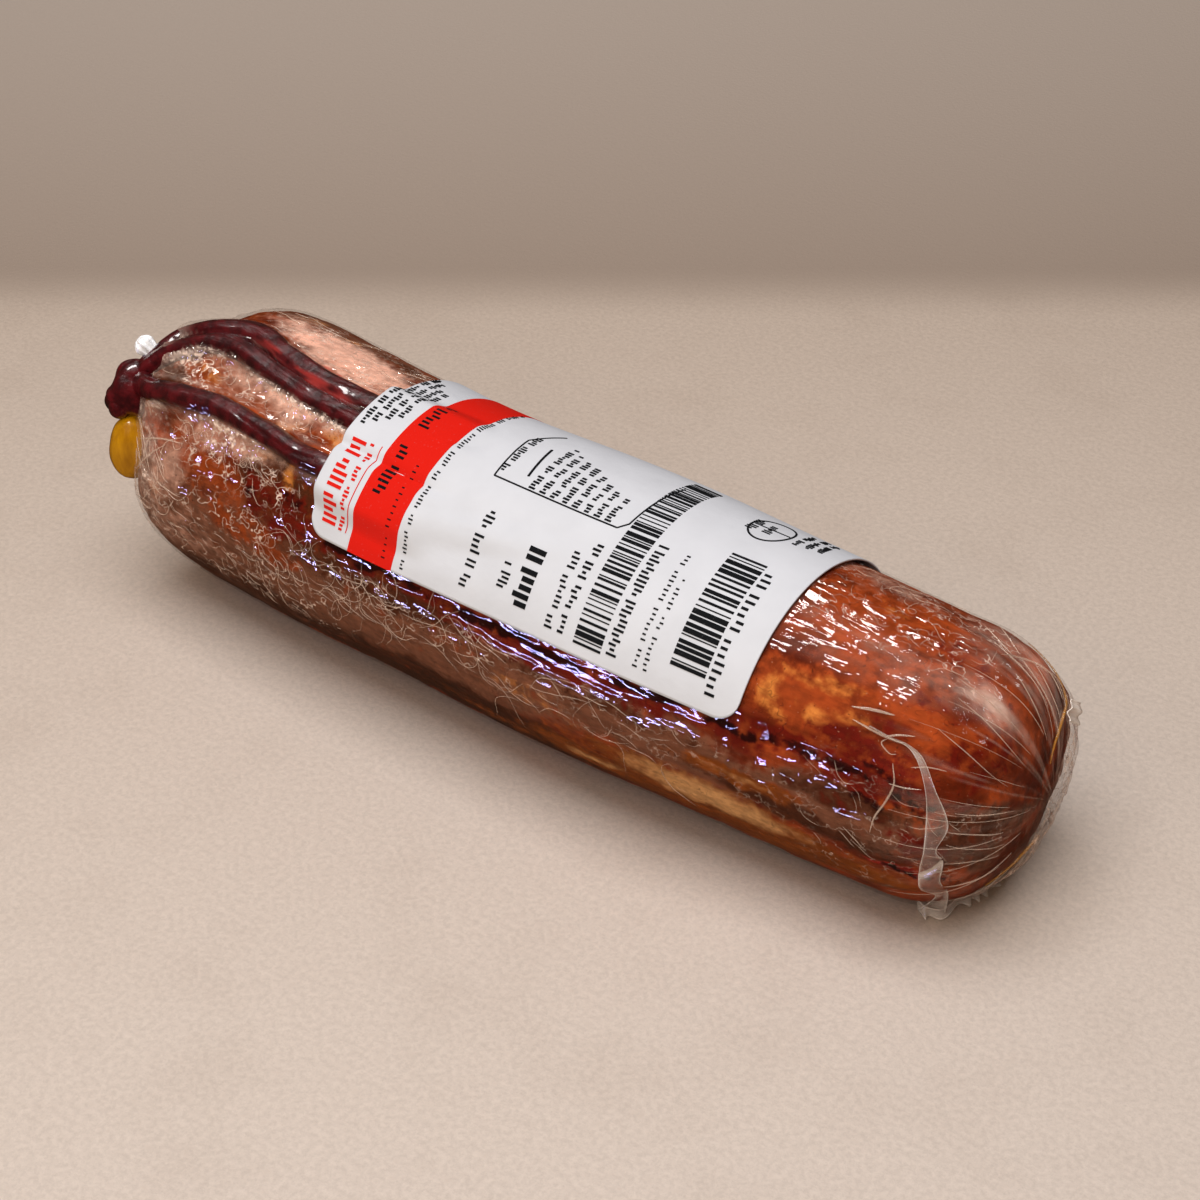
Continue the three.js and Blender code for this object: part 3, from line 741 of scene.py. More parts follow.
def film_relief():
    """The film's ripples: strands bridged, gathers towards the far end, and crackled skin elsewhere."""
    upper = band(STATION, TURN, (44, 84), (96, 126), (6, 6))
    lower = band(STATION, TURN, (-32, 78), (154, 170), (5, 4))
    left = band(STATION, TURN, (-100, -46), (60, 215), (4, 10))
    long_folds = crests((16.0, 3.4, 3.4), 41, layers=2, width=0.16)
    short_folds = crests((6.0, 3.0, 3.0), 43, layers=2, width=0.16)
    blots = layered_noise(SKIN, (5.0, 2.4, 2.4), 47, layers=2) - 0.5
    dimples = layered_noise(SKIN, 3.0, 53, layers=2) - 0.5
    gathers = np.zeros(STATION.shape)
    girth = np.maximum(RADIUS * ROUNDING, 1.5)
    draw = np.random.default_rng(61)
    for middle in np.arange(0, 360, GATHERS["every"]):
        lean = draw.uniform(-GATHERS["lean"], GATHERS["lean"])
        place = math.radians(middle + draw.uniform(-GATHERS["astray"], GATHERS["astray"]))
        start = draw.uniform(*GATHERS["start"])
        height = draw.uniform(*GATHERS["height"])
        width = draw.uniform(*GATHERS["width"])
        drift = place + lean * (FAR_END - STATION) / 60
        away = np.angle(np.exp(1j * (ANGLE - drift))) * girth
        gathers += height * np.exp(-(away / width) ** 2) * smoothstep(STATION, start, start + 12)
    relief = (RELIEF["long_folds"] * long_folds * upper + RELIEF["short_folds"] * short_folds * left
              + RELIEF["blots"] * blots * lower + RELIEF["dimples"] * dimples * (0.3 + left)
              + gathers * (1 - NEAR_POLE))
    return relief * (1 - 0.8 * NEAR_POLE) * off_the_cord() + film_over_strands(STATION, ANGLE)


MILK_AND_PAINTED_SHEEN = (  # stations, turns, ease and strength of the soft white of film that stands off the meat, and of a painted highlight and a painted sheen
    # The second zone here is a painted highlight at the far end, partly lit by end_shine as well.
    ((-97, -88), (100, 185), (3, 12), 0.15), ((75, 85), (99, 114), (3, 5), 0.24),
    # A painted sheen over the glossy streaks on the top.
    ((46, 76), (101, 121), (4, 5), 0.07),
    ((72, 84), (60, 90), (4, 8), 0.08), ((-80, -50), (74, 86), (5, 4), 0.12),
    ((84.5, 99), (-9, 56), (2, 6), 0.12), ((84.5, 99), (238, 369), (2, 6), 0.12),
)
FROST = (  # the same for the pebbled white where it half clings
    ((-84, -72), (107, 117), (3, 4), 0.55), ((-70, -50), (108, 118), (4, 3), 0.6),
    ((-79, -63), (134, 145), (4, 4), 0.6), ((-97, -87), (116, 200), (4, 12), 0.2),
    ((-78, -50), (66, 98), (5, 6), 0.24), ((-92, -84), (112, 128), (3, 4), 0.4),
    ((84, 99), (-9, 56), (2, 6), 0.35), ((84, 99), (238, 369), (2, 6), 0.35),
    ((-104, -94), (176, 214), (3, 8), 0.35),
)
THREADS = (  # and for its fine curling creases
    ((-88, -50), (105, 128), (4, 4), 0.9), ((-84, -54), (133, 160), (4, 5), 0.55),
    ((-94, -40), (164, 200), (5, 6), 0.55), ((-42, 5), (166, 185), (8, 4), 0.55),
    ((5, 60), (168, 188), (8, 4), 0.2), ((44, 80), (62, 105), (5, 8), 0.4),
    ((60, 88), (155, 205), (6, 8), 0.22), ((-84, -46), (60, 98), (5, 8), 0.3),
    ((83, 99), (-9, 56), (2, 6), 0.9), ((83, 99), (238, 369), (2, 6), 0.9),
)


def aside_of_cord():
    """How far each point lies aside from each strand's middle, in the strand's own radii."""
    for name in STRANDS:
        turn, _, strand_radius = strand_place(name, STATION)
        yield RADIUS * np.abs(ANGLE - np.radians(turn)) / strand_radius


def off_the_cord():
    """0 over the strands, where the film clings to them, and 1 a little way off them."""
    clear = np.ones(STATION.shape)
    for aside in aside_of_cord():
        over = (1 - smoothstep(aside, 0.85, 1.25)) * band(STATION, TURN, *OVER_CORD)
        clear = np.minimum(clear, 1 - over)
    return clear


def beside_the_cord():
    """1 in the narrow gutters where the film comes down off a strand, 0 elsewhere."""
    gutter = np.zeros(STATION.shape)
    for aside in aside_of_cord():
        line = smoothstep(aside, 0.95, 1.15) * (1 - smoothstep(aside, 1.25, 1.7))
        gutter = np.maximum(gutter, line * band(STATION, TURN, *OVER_CORD))
    return gutter


def film_fields():
    """Where the film is milky, frosted, creased, loose and drawn tight; the milk also carries a painted
    highlight and a painted sheen.
    """
    cloud = 0.4 + 1.2 * smoothstep(layered_noise(SKIN, (6.0, 2.6, 2.6), 71), 0.35, 0.7)
    clear = off_the_cord()
    fields = {}
    for name, zones in (("milk_and_painted_sheen", MILK_AND_PAINTED_SHEEN), ("frost", FROST), ("threads", THREADS)):
        total = np.zeros(STATION.shape)
        for *zone, strength in zones:
            total = np.maximum(total, strength * band(WARPED_STATION, WARPED_TURN, *zone))
        fields[name] = np.clip(total * cloud * clear, 0, 1)
    fan = layered_noise(np.stack([TURN / 3.2, STATION / 16, TURN * 0], -1), 1.0, 77, layers=2)
    drawn = smoothstep(fan, 0.50, 0.72) * smoothstep(STATION, 66, 84) * (1 - 0.7 * NEAR_POLE)
    stretched = 0.14 * drawn * (1 - 0.6 * smoothstep(TURN, 145, 165))
    gutters = 0.20 * beside_the_cord() * clear ** 2 * cloud
    fields["milk_and_painted_sheen"] = np.clip(fields["milk_and_painted_sheen"] + stretched + gutters, 0, 1)
    calm = 0.45 * band(STATION, TURN, (-26, 74), (155, 169), (4, 4))
    fields["loose"] = clear * (1 - calm)
    fields["drawn"] = 0.75 * band(WARPED_STATION, WARPED_TURN, (44, 82), (102, 124), (4, 4))
    return fields


def make_film():
    return shell("film_skin", film_relief(), film_fields(), FILM_ON_FLOOR)


# --- Creases: what folds of film and threads of tissue draw on the loin -----------------------------

CREASE_GROUPS = (  # stations, turns, how many, lengths, half-width, curl, heading, seed
    ((-86, -73), (107, 118), 40, (3, 8), 0.07, 0.85, 60, 101),
    ((-72, -49), (109, 118), 34, (3, 9), 0.07, 0.55, 5, 102),
    ((-83, -62), (134, 150), 66, (2.5, 8), 0.07, 0.8, 20, 103),
    ((-70, -50), (140, 172), 44, (1, 3.5), 0.045, 0.7, 70, 104),
    ((-60, -10), (166, 184), 64, (6, 16), 0.06, 0.42, 3, 105),
    ((-12, 34), (166, 188), 34, (5, 14), 0.055, 0.22, 2, 106),
    ((-90, -48), (180, 200), 70, (2, 6), 0.06, 0.5, 35, 107),
    ((46, 78), (62, 104), 34, (3, 9), 0.055, 0.6, 40, 108),
    ((60, 82), (158, 196), 24, (2, 7), 0.06, 0.3, 30, 110),
    ((-97, -84), (140, 186), 26, (4, 11), 0.09, 0.25, 60, 111),
    ((-95, -86), (108, 134), 14, (3, 7), 0.08, 0.3, 40, 112),
    ((-82, -48), (62, 96), 30, (4, 12), 0.06, 0.15, -24, 113),
)
CREASE_STEP = 0.55
CREASE_ASTRAY, CREASE_MEMORY, CREASE_CHANGE = 18, 0.8, 0.6  # degrees, and shares of the bend at each step
CREASE_LIFT, CREASE_CROSSES_CORD, CREASE_ON_FLOOR = 0.08, 1.2, 0.15
END_GATHERS = dict(turns=(40, 300, 14.0), start=(70, 84), astray=3, lean=14, short=(0.2, 2.5),
                   half_width=(0.04, 0.09), steps=16)
FOLDS = (  # single folds of film: stations and turns along each, and its half-width
    (((-93.7, 160), (-87.4, 153.5), (-81.7, 150.5)), 0.22),
    (((-95.2, 178), (-89.6, 162.5), (-85.7, 154.5)), 0.20),
    (((-94, 151), (-91.8, 158.5), (-88.9, 168.5)), 0.16), (((-91, 186), (-88, 176), (-84, 172)), 0.12),
    (((62, 133), (65.5, 131), (69, 129.8)), 0.30),
    (((63, 137.4), (67.4, 138.4), (70.2, 138.6), (73, 138.4)), 0.24),
    (((69, 138.4), (71, 136), (73.4, 134.2)), 0.20),
    (((69.4, 139), (68.8, 141.5), (70.6, 144), (71.6, 143.4)), 0.13),
    (((71.8, 147), (73.2, 154), (72.4, 163), (71.4, 170), (71.2, 177)), 0.20),
    (((74.6, 146), (77, 143.6), (79.5, 142.6)), 0.14), (((72.4, 154.6), (75, 154), (77.4, 152.6)), 0.14),
    (((76.9, 82), (78.2, 72), (80.3, 66), (82.8, 61), (85, 52)), 0.20),
    (((70.5, 66), (74, 70), (77.4, 74)), 0.13),
    (((72, 60), (75, 65), (78, 69)), 0.12), (((74, 74), (79, 78), (86, 79)), 0.12),
    (((78.4, 70.5), (83, 74), (87, 74)), 0.12),
    (((80, 66), (84.6, 68), (87.6, 66)), 0.12), (((82.5, 61.5), (86, 60)), 0.12),
    (((80.5, 86), (85, 90), (88, 92)), 0.10),
    (((82, 170), (85.5, 172), (88, 176)), 0.12), (((82.4, 176), (86, 182), (88, 190)), 0.10),
    (((82, 188), (85, 192), (87.6, 200)), 0.10), (((82, 205), (85, 208), (87.4, 214)), 0.12),
    (((82.4, 160), (85.6, 160), (88.4, 158)), 0.10), (((76, 128), (82, 133), (87, 140)), 0.10),
    (((76, 112), (82, 116), (87.6, 122)), 0.10), (((74, 104), (80, 106), (86, 108)), 0.09),
)


def curl_on_loin(draw, stations, turns, lengths, curl, heading):
    """A wandering line on the loin, as stations and turns."""
    station, turn = draw.uniform(*stations), draw.uniform(*turns)
    length = draw.uniform(*lengths)
    way = math.radians(heading + draw.normal(0, CREASE_ASTRAY)) + math.pi * draw.integers(0, 2)
    bend = draw.normal(0, curl)
    places = []
    for _ in range(max(int(length / CREASE_STEP), 3)):
        places.append((station, turn))
        bend = CREASE_MEMORY * bend + draw.normal(0, curl * CREASE_CHANGE)
        way += bend * CREASE_STEP
        station += CREASE_STEP * math.cos(way)
        turn += math.degrees(CREASE_STEP * math.sin(way) / WAIST_RADIUS)
    return places


def crease_lines():
    """Every crease, as its stations and turns and its half-width."""
    lines = [(smooth_path(places, 24).tolist(), width) for places, width in FOLDS]
    for stations, turns, count, lengths, half_width, curl, heading, seed in CREASE_GROUPS:
        draw = np.random.default_rng(seed)
        for _ in range(count):
            places = curl_on_loin(draw, stations, turns, lengths, curl, heading)
            lines.append((places, half_width * draw.uniform(0.6, 1.4)))
    draw = np.random.default_rng(131)
    share = np.linspace(0, 1, END_GATHERS["steps"])
    for middle in np.arange(*END_GATHERS["turns"]):  # gathers that run to the far pole
        start = draw.uniform(*END_GATHERS["start"])
        turn = middle + draw.uniform(-END_GATHERS["astray"], END_GATHERS["astray"])
        lean = draw.uniform(-END_GATHERS["lean"], END_GATHERS["lean"])
        end = FAR_END - draw.uniform(*END_GATHERS["short"])
        along = start + (end - start) * np.sin(share * np.pi / 2)
        places = list(zip(along, turn + lean * (1 - share)))
        lines.append((places, draw.uniform(*END_GATHERS["half_width"])))
    return lines


def ribs_along(name, lines, material, sides=5):
    """Geometry Nodes: sweeps a small round section along lines that each carry their half-width."""
    points, edges, widths = [], [], []
    for places, width in lines:
        first = len(points)
        points.extend(places)
        edges.extend((first + i, first + i + 1) for i in range(len(places) - 1))
        ease = np.sin(np.linspace(0.12, math.pi - 0.12, len(places))) ** 0.6
        widths.extend(width * METRES * ease)
    mesh = bpy.data.meshes.new(name)
    mesh.from_pydata(in_frame(points).tolist(), edges, [])
    add_field(mesh, "half_width", widths)
    guide = new_object(name + "_guide", mesh)

    tree = bpy.data.node_groups.new(name + "_sweep", "GeometryNodeTree")
    tree.interface.new_socket("Lines", in_out="INPUT", socket_type="NodeSocketGeometry")
    sides_input = tree.interface.new_socket("Sides", in_out="INPUT", socket_type="NodeSocketInt")
    tree.interface.new_socket("Ribs", in_out="OUTPUT", socket_type="NodeSocketGeometry")
    given = node(tree, "NodeGroupInput")
    width = node(tree, "GeometryNodeInputNamedAttribute", dict(data_type="FLOAT"), Name="half_width")
    curve = node(tree, "GeometryNodeMeshToCurve", Mesh=given.outputs["Lines"])
    profile = node(tree, "GeometryNodeCurvePrimitiveCircle", Resolution=given.outputs["Sides"], Radius=1.0)
    sweep = node(tree, "GeometryNodeCurveToMesh", Curve=curve.outputs[0], Profile_Curve=profile.outputs[0],
                 Scale=width.outputs["Attribute"], Fill_Caps=True)
    realized = node(tree, "GeometryNodeRealizeInstances", Geometry=sweep.outputs[0])
    painted = node(tree, "GeometryNodeSetMaterial", Geometry=realized.outputs[0], Material=material)
    node(tree, "NodeGroupOutput", Ribs=painted.outputs[0])
    modifier = guide.modifiers.new("sweep", "NODES")
    modifier.node_group = tree
    modifier[sides_input.identifier] = sides
    swept = plain_mesh(guide)
    guide.modifiers.clear()
    bpy.data.objects.remove(guide)
    swept.name = name
    shade(swept, True)
    return new_object(name, swept)


def make_creases(material):
    """The creases raised on the film. None of them crosses a strand."""
    lines = []
    for places, width in crease_lines():
        station, turn = np.array(places).T
        station = np.clip(station, KNOT_END + POLE_MARGIN, FAR_END - POLE_MARGIN)
        angle = np.radians(turn)
        lift = film_over_strands(station, angle) + CREASE_LIFT
        if lift.max() > CREASE_CROSSES_CORD:
            continue
        point = loin_point(station, angle) + loin_outwards(station, angle) * lift[:, None]
        point[:, 2] = np.maximum(point[:, 2], CREASE_ON_FLOOR)
        lines.append((point.tolist(), width))
    return ribs_along("film_creases", lines, material)


# --- The cord, the knot and the lobe ----------------------------------------------------------------

CORD_SIDES, CORD_STEP = 40, 0.28
CORD_LUMPS, CORD_WRINKLES, CORD_FOLD = 0.20, 0.17, 0.10  # shares of its radius
PAINTED_HIGHLIGHT_CORD, PAINTED_HIGHLIGHT_STRENGTH = "cord_back", 0.8  # the cord with a painted red highlight down one flank, and how strong it is


def make_strand(name):
    """A lumpy, wrinkled strand that comes out of the knot and sinks into the loin under the label."""
    strand_radius, route = STRANDS[name]
    station, turn, height = np.array(route).T
    places = loin_point(station, np.radians(turn), height)
    path = smooth_path(np.vstack([[KNOT_LUMPS[0][0]], places]), 400)
    length = np.linalg.norm(np.diff(path, axis=0), axis=1).sum()
    path = smooth_path(path[::8], int(length / CORD_STEP))
    forward = unit(np.gradient(path, axis=0))
    radius, y, _ = section(path[:, 0])
    middle = np.stack([path[:, 0], y, radius * HEIGHT_SHARE], -1)
    side = unit(np.cross(forward, path - middle))
    up = np.cross(side, forward)
    sweep = np.linspace(0, 2 * np.pi, CORD_SIDES, endpoint=False)
    ring = (side[:, None] * np.cos(sweep)[None, :, None] + up[:, None] * np.sin(sweep)[None, :, None])
    skin = path[:, None] + ring * strand_radius
    seed = sum(map(ord, name))
    swell = CORD_LUMPS * (layered_noise(skin, (7.0, 4.0, 4.0), seed) - 0.5)
    along = np.arange(len(path))[:, None] * CORD_STEP
    unrolled = np.stack([along + 0 * sweep, np.cos(sweep) * strand_radius + 0 * along,
                         np.sin(sweep) * strand_radius + 0 * along], -1)
    wrinkle = CORD_WRINKLES * (layered_noise(unrolled, (4.5, 1.1, 1.1), seed + 9, layers=2) - 0.5)
    off_fold = np.angle(np.exp(1j * (sweep[None, :] - 1.9 - 0.5 * np.sin(along / 9))))
    fold = np.exp(-(off_fold / 0.22) ** 2)
    size = strand_radius * (1 + swell + wrinkle - CORD_FOLD * fold)
    rings = path[:, None] + ring * size[..., None]
    # Painted light on the side that faces up, away from the loin, stronger on the lumps.
    painted_light_on_high_spots = np.clip(np.sin(sweep)[None, :] * np.ones((len(path), 1)), 0, 1) * (0.5 + swell + wrinkle)
    points, faces = closed_tube(rings, path[0], path[-1], flip=True)
    # A painted red highlight along one flank of the back cord, from station -76 to -54.
    painted_red_highlight = PAINTED_HIGHLIGHT_STRENGTH * smoothstep(np.cos(sweep - 0.3), 0.55, 0.9)[None, :] * (name == PAINTED_HIGHLIGHT_CORD)
    painted_red_highlight = painted_red_highlight * band(rings[..., 0], 0, (-76, -54), (-9, 9), (5, 1)) * smoothstep(wrinkle, -0.03, 0.03)
    fields = {key: np.concatenate([value.ravel(), [0, 0]])  # the last two are its tips
              for key, value in (("painted_light_on_high_spots", painted_light_on_high_spots), ("painted_red_highlight", painted_red_highlight))}
    return to_object(name + "_cord", points, faces, fields)


def globe(middle, half, rows=48, columns=72, lean=0.0):
    """Rings of an oval globe whose poles lie up and down, leaning round Y."""
    rise = np.linspace(np.pi / 2 - 0.03, -np.pi / 2 + 0.03, rows)
    sweep = np.linspace(0, 2 * np.pi, columns, endpoint=False)
    level = np.cos(rise)[:, None]
    local = np.stack([level * np.cos(sweep), level * np.sin(sweep),
                      np.sin(rise)[:, None] * np.ones(columns)], -1)
    local = np.concatenate([local.reshape(-1, 3), [(0, 0, 1), (0, 0, -1)]]) * np.asarray(half)
    turned = local.copy()
    turned[:, 0] = local[:, 0] * math.cos(lean) + local[:, 2] * math.sin(lean)
    turned[:, 2] = local[:, 2] * math.cos(lean) - local[:, 0] * math.sin(lean)
    _, faces = closed_tube(np.zeros((rows, columns, 3)), (0, 0, 0), (0, 0, 0), flip=True)
    return turned + np.asarray(middle), faces


KNOT_FINISH = dict(voxel=0.22, soften=0.5, rounds=60, lumps=0.9, folds=0.5, swell=0.2)


def make_knot():
    """The folds of the knot melted into one lump by a voxel remesh and softened, then pushed into lumps and
    creases.
    """
    points, faces = [], []
    for middle, half in KNOT_LUMPS + (KNOT_HEART,):
        globe_points, globe_faces = globe(middle, half)
        faces.extend([[index + len(points) for index in face] for face in globe_faces])
        points.extend(globe_points.tolist())
    obj = to_object("cord_knot", points, faces)
    remesh = obj.modifiers.new("melt", "REMESH")
    remesh.mode = "VOXEL"
    remesh.voxel_size = KNOT_FINISH["voxel"] * METRES
    soften = obj.modifiers.new("soften", "SMOOTH")
    soften.factor, soften.iterations = KNOT_FINISH["soften"], KNOT_FINISH["rounds"]
    melted = plain_mesh(obj)
    obj.modifiers.clear()
    obj.data = melted
    place, normal = np.empty((2, len(melted.vertices) * 3))
    melted.vertices.foreach_get("co", place)
    melted.vertices.foreach_get("normal", normal)
    place = place.reshape(-1, 3) / METRES - TO_FRAME
    fold = np.abs(lattice_noise(place, (4.6, 3.4, 9.0), 201) - 0.5) * 2
    lumps = layered_noise(place, 4.0, 202, layers=2) - 0.5
    push = KNOT_FINISH["lumps"] * lumps - KNOT_FINISH["folds"] * (1 - fold) ** 6 + KNOT_FINISH["swell"]
    place = place + normal.reshape(-1, 3) * push[:, None]
    melted.vertices.foreach_set("co", in_frame(place).ravel())
    melted.update()
    shade(melted, True)
    # Painted light on the lumps that stand out.
    add_field(melted, "painted_light_on_high_spots", np.clip(lumps + 0.4, 0, 1))
    return obj


def make_lobe():
    points, faces = globe(*LOBE, rows=64, columns=96, lean=LOBE_LEAN)
    lumps = layered_noise(points, (2.4, 2.4, 6.0), 211) - 0.5
    outwards = unit(points - np.asarray(LOBE[0]))
    return to_object("golden_lobe", points + outwards * (LOBE_LUMPS * lumps)[:, None], faces)


# --- The label --------------------------------------------------------------------------------------

LABEL_STEP, LABEL_END_CROWDING = 0.5, 1.25  # the grid's columns draw closer towards both ends
LABEL_SEAT = 0.1  # how far the paper stays off what it wraps
LABEL_WAVE = 0.16
LABEL_CREASE = dict(height=0.55, middle=(-14, 132), half=(14, 2.2), lean=-12)
LABEL_DENT = dict(height=-0.40, middle=(-20, 141), half=(12, 3.0), lean=-8)


def label_lift(station, angle):
    """Height of the paper's underside over the loin, with the soft waves of a hand-laid label."""
    rise = strand_rise(station, angle, RIDGE["level"], RIDGE["foot"], GAP)
    turn = np.degrees(angle)
    place = np.stack([station, turn * 0.47, np.zeros_like(turn)], -1)
    lift = GAP + rise + LABEL_WAVE * (layered_noise(place, (22.0, 9.0, 1.0), 301, layers=2) - 0.5)
    for fold in (LABEL_CREASE, LABEL_DENT):
        lift = lift + fold["height"] * patch(station, turn, fold["middle"], fold["half"], fold["lean"], 0.8)
    return lift + LABEL_SEAT


def label_point(station, across, height):
    """A point on the label: across runs up from its lower edge, height from its underside."""
    angle = math.radians(LABEL["lower_turn"]) - across / section(station)[0]
    return loin_point(station, angle, label_lift(station, angle) + height)


def sheet_faces(rows, columns):
    """Faces of a closed slab whose top grid comes first and whose bottom grid follows."""
    row, column = np.meshgrid(np.arange(rows - 1), np.arange(columns - 1), indexing="ij")
    a = row * columns + column
    top = np.stack([a, a + 1, a + columns + 1, a + columns], -1).reshape(-1, 4)
    bottom = top[:, ::-1] + rows * columns
    grid = np.arange(rows * columns).reshape(rows, columns)
    rim = np.concatenate([grid[0, :-1], grid[:-1, -1], grid[-1, :0:-1], grid[:0:-1, 0]])
    after, below = np.roll(rim, -1), rows * columns
    sides = np.stack([rim, rim + below, after + below, after], -1)
    return np.concatenate([top, bottom, sides]).tolist()


def slab_points(top, bottom):
    """The points that sheet_faces joins, from the slab's two grids."""
    return np.concatenate([top.reshape(-1, 3), bottom.reshape(-1, 3)])


def make_label():
    length = LABEL["end"] - LABEL["start"]
    columns, rows = int(length / LABEL_STEP), int(LABEL["wrap"] / LABEL_STEP)
    along = np.linspace(-1, 1, columns)
    along = np.sign(along) * (1 - (1 - np.abs(along)) ** LABEL_END_CROWDING)
    from_middle = along * length / 2
    into_corner = np.maximum(np.abs(from_middle) - length / 2 + LABEL["corner"], 0)
    loss = LABEL["corner"] - np.sqrt(np.maximum(LABEL["corner"] ** 2 - into_corner ** 2, 0))
    share = np.linspace(-1, 1, rows)
    station = np.broadcast_to((LABEL["start"] + LABEL["end"]) / 2 + from_middle, (rows, columns))
    across = LABEL["wrap"] / 2 + share[:, None] * (LABEL["wrap"] / 2 - loss[None, :])
    top = label_point(station, across, LABEL["thickness"])
    bottom = label_point(station, across, 0.0)
    return to_object("paper_label", slab_points(top, bottom), sheet_faces(rows, columns))


# Print: each mark is a thin slab of ink, given as stations from..to and millimetres across from..to.
INK, INK_UNDER_BLACK = 0.10, 0.065  # how far ink stands off the paper; the red band lies under the black
MARK_STEP, LINE_STEP = 0.45, 0.8  # millimetres between points of a mark, so that it follows the paper
PRINT_SLANT = -0.04  # the print runs this much off square, in millimetres of station for each across
BAR_WIDTHS, BAR_GAPS = (0.22, 0.22, 0.44, 0.66, 0.9), (0.24, 0.24, 0.48, 0.7)
TICK_FEET, TICK_HEADS = (0.0, 0.0, 0.25), (1.0, 1.0, 0.7)  # shares of the row's height
SHORT, LONG = (3, 8), (9, 14)  # ticks to a group


def add_slab(points, faces, station, across, ink=INK):
    """Adds ink that follows the paper over a grid of places."""
    top = label_point(station, across, LABEL["thickness"] + ink)
    bottom = label_point(station, across, LABEL["thickness"] - INK)
    first = len(points)
    points.extend(slab_points(top, bottom).tolist())
    faces.extend([[index + first for index in face] for face in sheet_faces(*station.shape)])


def turn_across(turn):
    return math.radians(LABEL["lower_turn"] - turn) * WAIST_RADIUS


def mark(points, faces, stations, across_from, across_to, slant=PRINT_SLANT, ink=INK):
    """Adds one rectangular mark."""
    along_steps = max(int(abs(stations[1] - stations[0]) / MARK_STEP), 1) + 1
    across_steps = max(int(abs(across_to - across_from) / MARK_STEP), 1) + 1
    station, across = np.meshgrid(np.linspace(*stations, along_steps),
                                  np.linspace(across_from, across_to, across_steps), indexing="xy")
    add_slab(points, faces, station + slant * across, across, ink)


def bar_field(points, faces, stations, turns, seed):
    draw = np.random.default_rng(seed)
    place, end = turn_across(turns[0]), turn_across(turns[1])
    while place < end:
        width = draw.choice(BAR_WIDTHS)
        mark(points, faces, stations, place, place + width)
        place += width + draw.choice(BAR_GAPS)


def tick_row(points, faces, stations, turns, seed, stroke, gap, group, space):
    """A row of plain upright ticks in groups, where small print would run."""
    draw = np.random.default_rng(seed)
    place, end = turn_across(turns[0]), turn_across(turns[1])
    height = stations[1] - stations[0]
    while place < end:
        for _ in range(draw.integers(*group)):
            foot, head = draw.choice(TICK_FEET), draw.choice(TICK_HEADS)
            if place >= end:
                break
            reach = (stations[0] + height * foot, stations[0] + height * head)
            mark(points, faces, reach, place, place + stroke)
            place += stroke + gap
        place += space


def tick_block(points, faces, stations, turns, seed, stroke, gap, group=SHORT, space=0.9,
               rows=1, step=0.0, shift=(0, 0)):
    """Rows of ticks: each goes on by step along the loin, and its two ends shift by degrees."""
    for row in range(rows):
        place = (stations[0] + step * row, stations[1] + step * row)
        reach = (turns[0] + shift[0] * row, turns[1] + shift[1] * row)
        tick_row(points, faces, place, reach, seed + row, stroke, gap, group, space)


def line(points, faces, corners, width):
    """A thin line through corners given as (station, turn)."""
    for (s0, t0), (s1, t1) in zip(corners, corners[1:]):
        a0, a1 = turn_across(t0), turn_across(t1)
        length = math.hypot(s1 - s0, a1 - a0)
        steps = max(int(length / LINE_STEP), 1) + 1
        centre = np.stack([np.linspace(s0, s1, steps), np.linspace(a0, a1, steps)], -1)
        way = np.array([s1 - s0, a1 - a0]) / length
        side = np.array([-way[1], way[0]]) * width / 2
        grid = np.stack([centre - side, centre + side])
        add_slab(points, faces, grid[..., 0], grid[..., 1])


def oval_places(middle, half, count=40):
    sweep = np.linspace(0, 2 * np.pi, count + 1)
    return [(middle[0] + half[0] * math.cos(a), middle[1] + half[1] * math.sin(a)) for a in sweep]


BLACK_BARS = (((13.2, 18.9), (153.0, 62.0), 401), ((31.6, 38.2), (146.0, 99.0), 402))
BLACK_TICKS = (  # stations, turns, seed, width of a tick, gap between two, and what differs from the usual
    ((19.9, 21.9), (152, 107), 403, 0.42, 0.42, dict(group=LONG, space=0.6)),
    ((38.8, 40.6), (151, 101), 404, 0.5, 0.8, dict(group=(6, 9))),
    ((-1.2, 2.2), (149.5, 129), 405, 0.95, 0.5, dict(group=(5, 7))),
    ((-4.8, -2.8), (145.5, 136), 406, 0.4, 0.4, dict(group=(3, 5))),
    ((-12.3, -10.3), (151, 141), 407, 0.4, 0.5, {}),
    ((-12.3, -10.3), (138, 120), 408, 0.45, 0.5, {}),
    ((6.8, 8.4), (152, 122), 409, 0.4, 0.5, {}),
    ((9.6, 11.3), (152, 117), 410, 0.45, 0.45, {}),
    ((25.2, 26.1), (152, 107), 411, 0.3, 0.6, dict(rows=2, step=1.9, shift=(0, 10))),
    ((-45.4, -44.2), (112, 64), 420, 0.42, 0.28, dict(rows=4, step=1.9, shift=(-3, 4))),
    ((-25.4, -24.5), (155, 62), 430, 0.28, 0.4, {}),
    ((-34.9, -32.5), (133, 113), 431, 0.5, 0.5, {}),
    ((-34.9, -32.5), (103, 85), 432, 0.5, 0.5, {}),
    ((-29.6, -28.8), (154, 118), 433, 0.25, 0.9, {}),
    ((-15.8, -14.4), (104, 80), 440, 0.35, 0.3, {}),
    ((-8.4, -7.1), (106.5, 78), 441, 0.42, 0.28, dict(rows=8, step=2.35, shift=(0, 2.2))),
    ((28.8, 30.6), (81, 70), 450, 0.35, 0.35, {}),
    ((31.8, 33.4), (80, 71), 451, 0.35, 0.35, {}),
    ((37.6, 38.8), (80, 62), 460, 0.42, 0.28, dict(rows=3, step=2.0, shift=(-1, 0))),
)
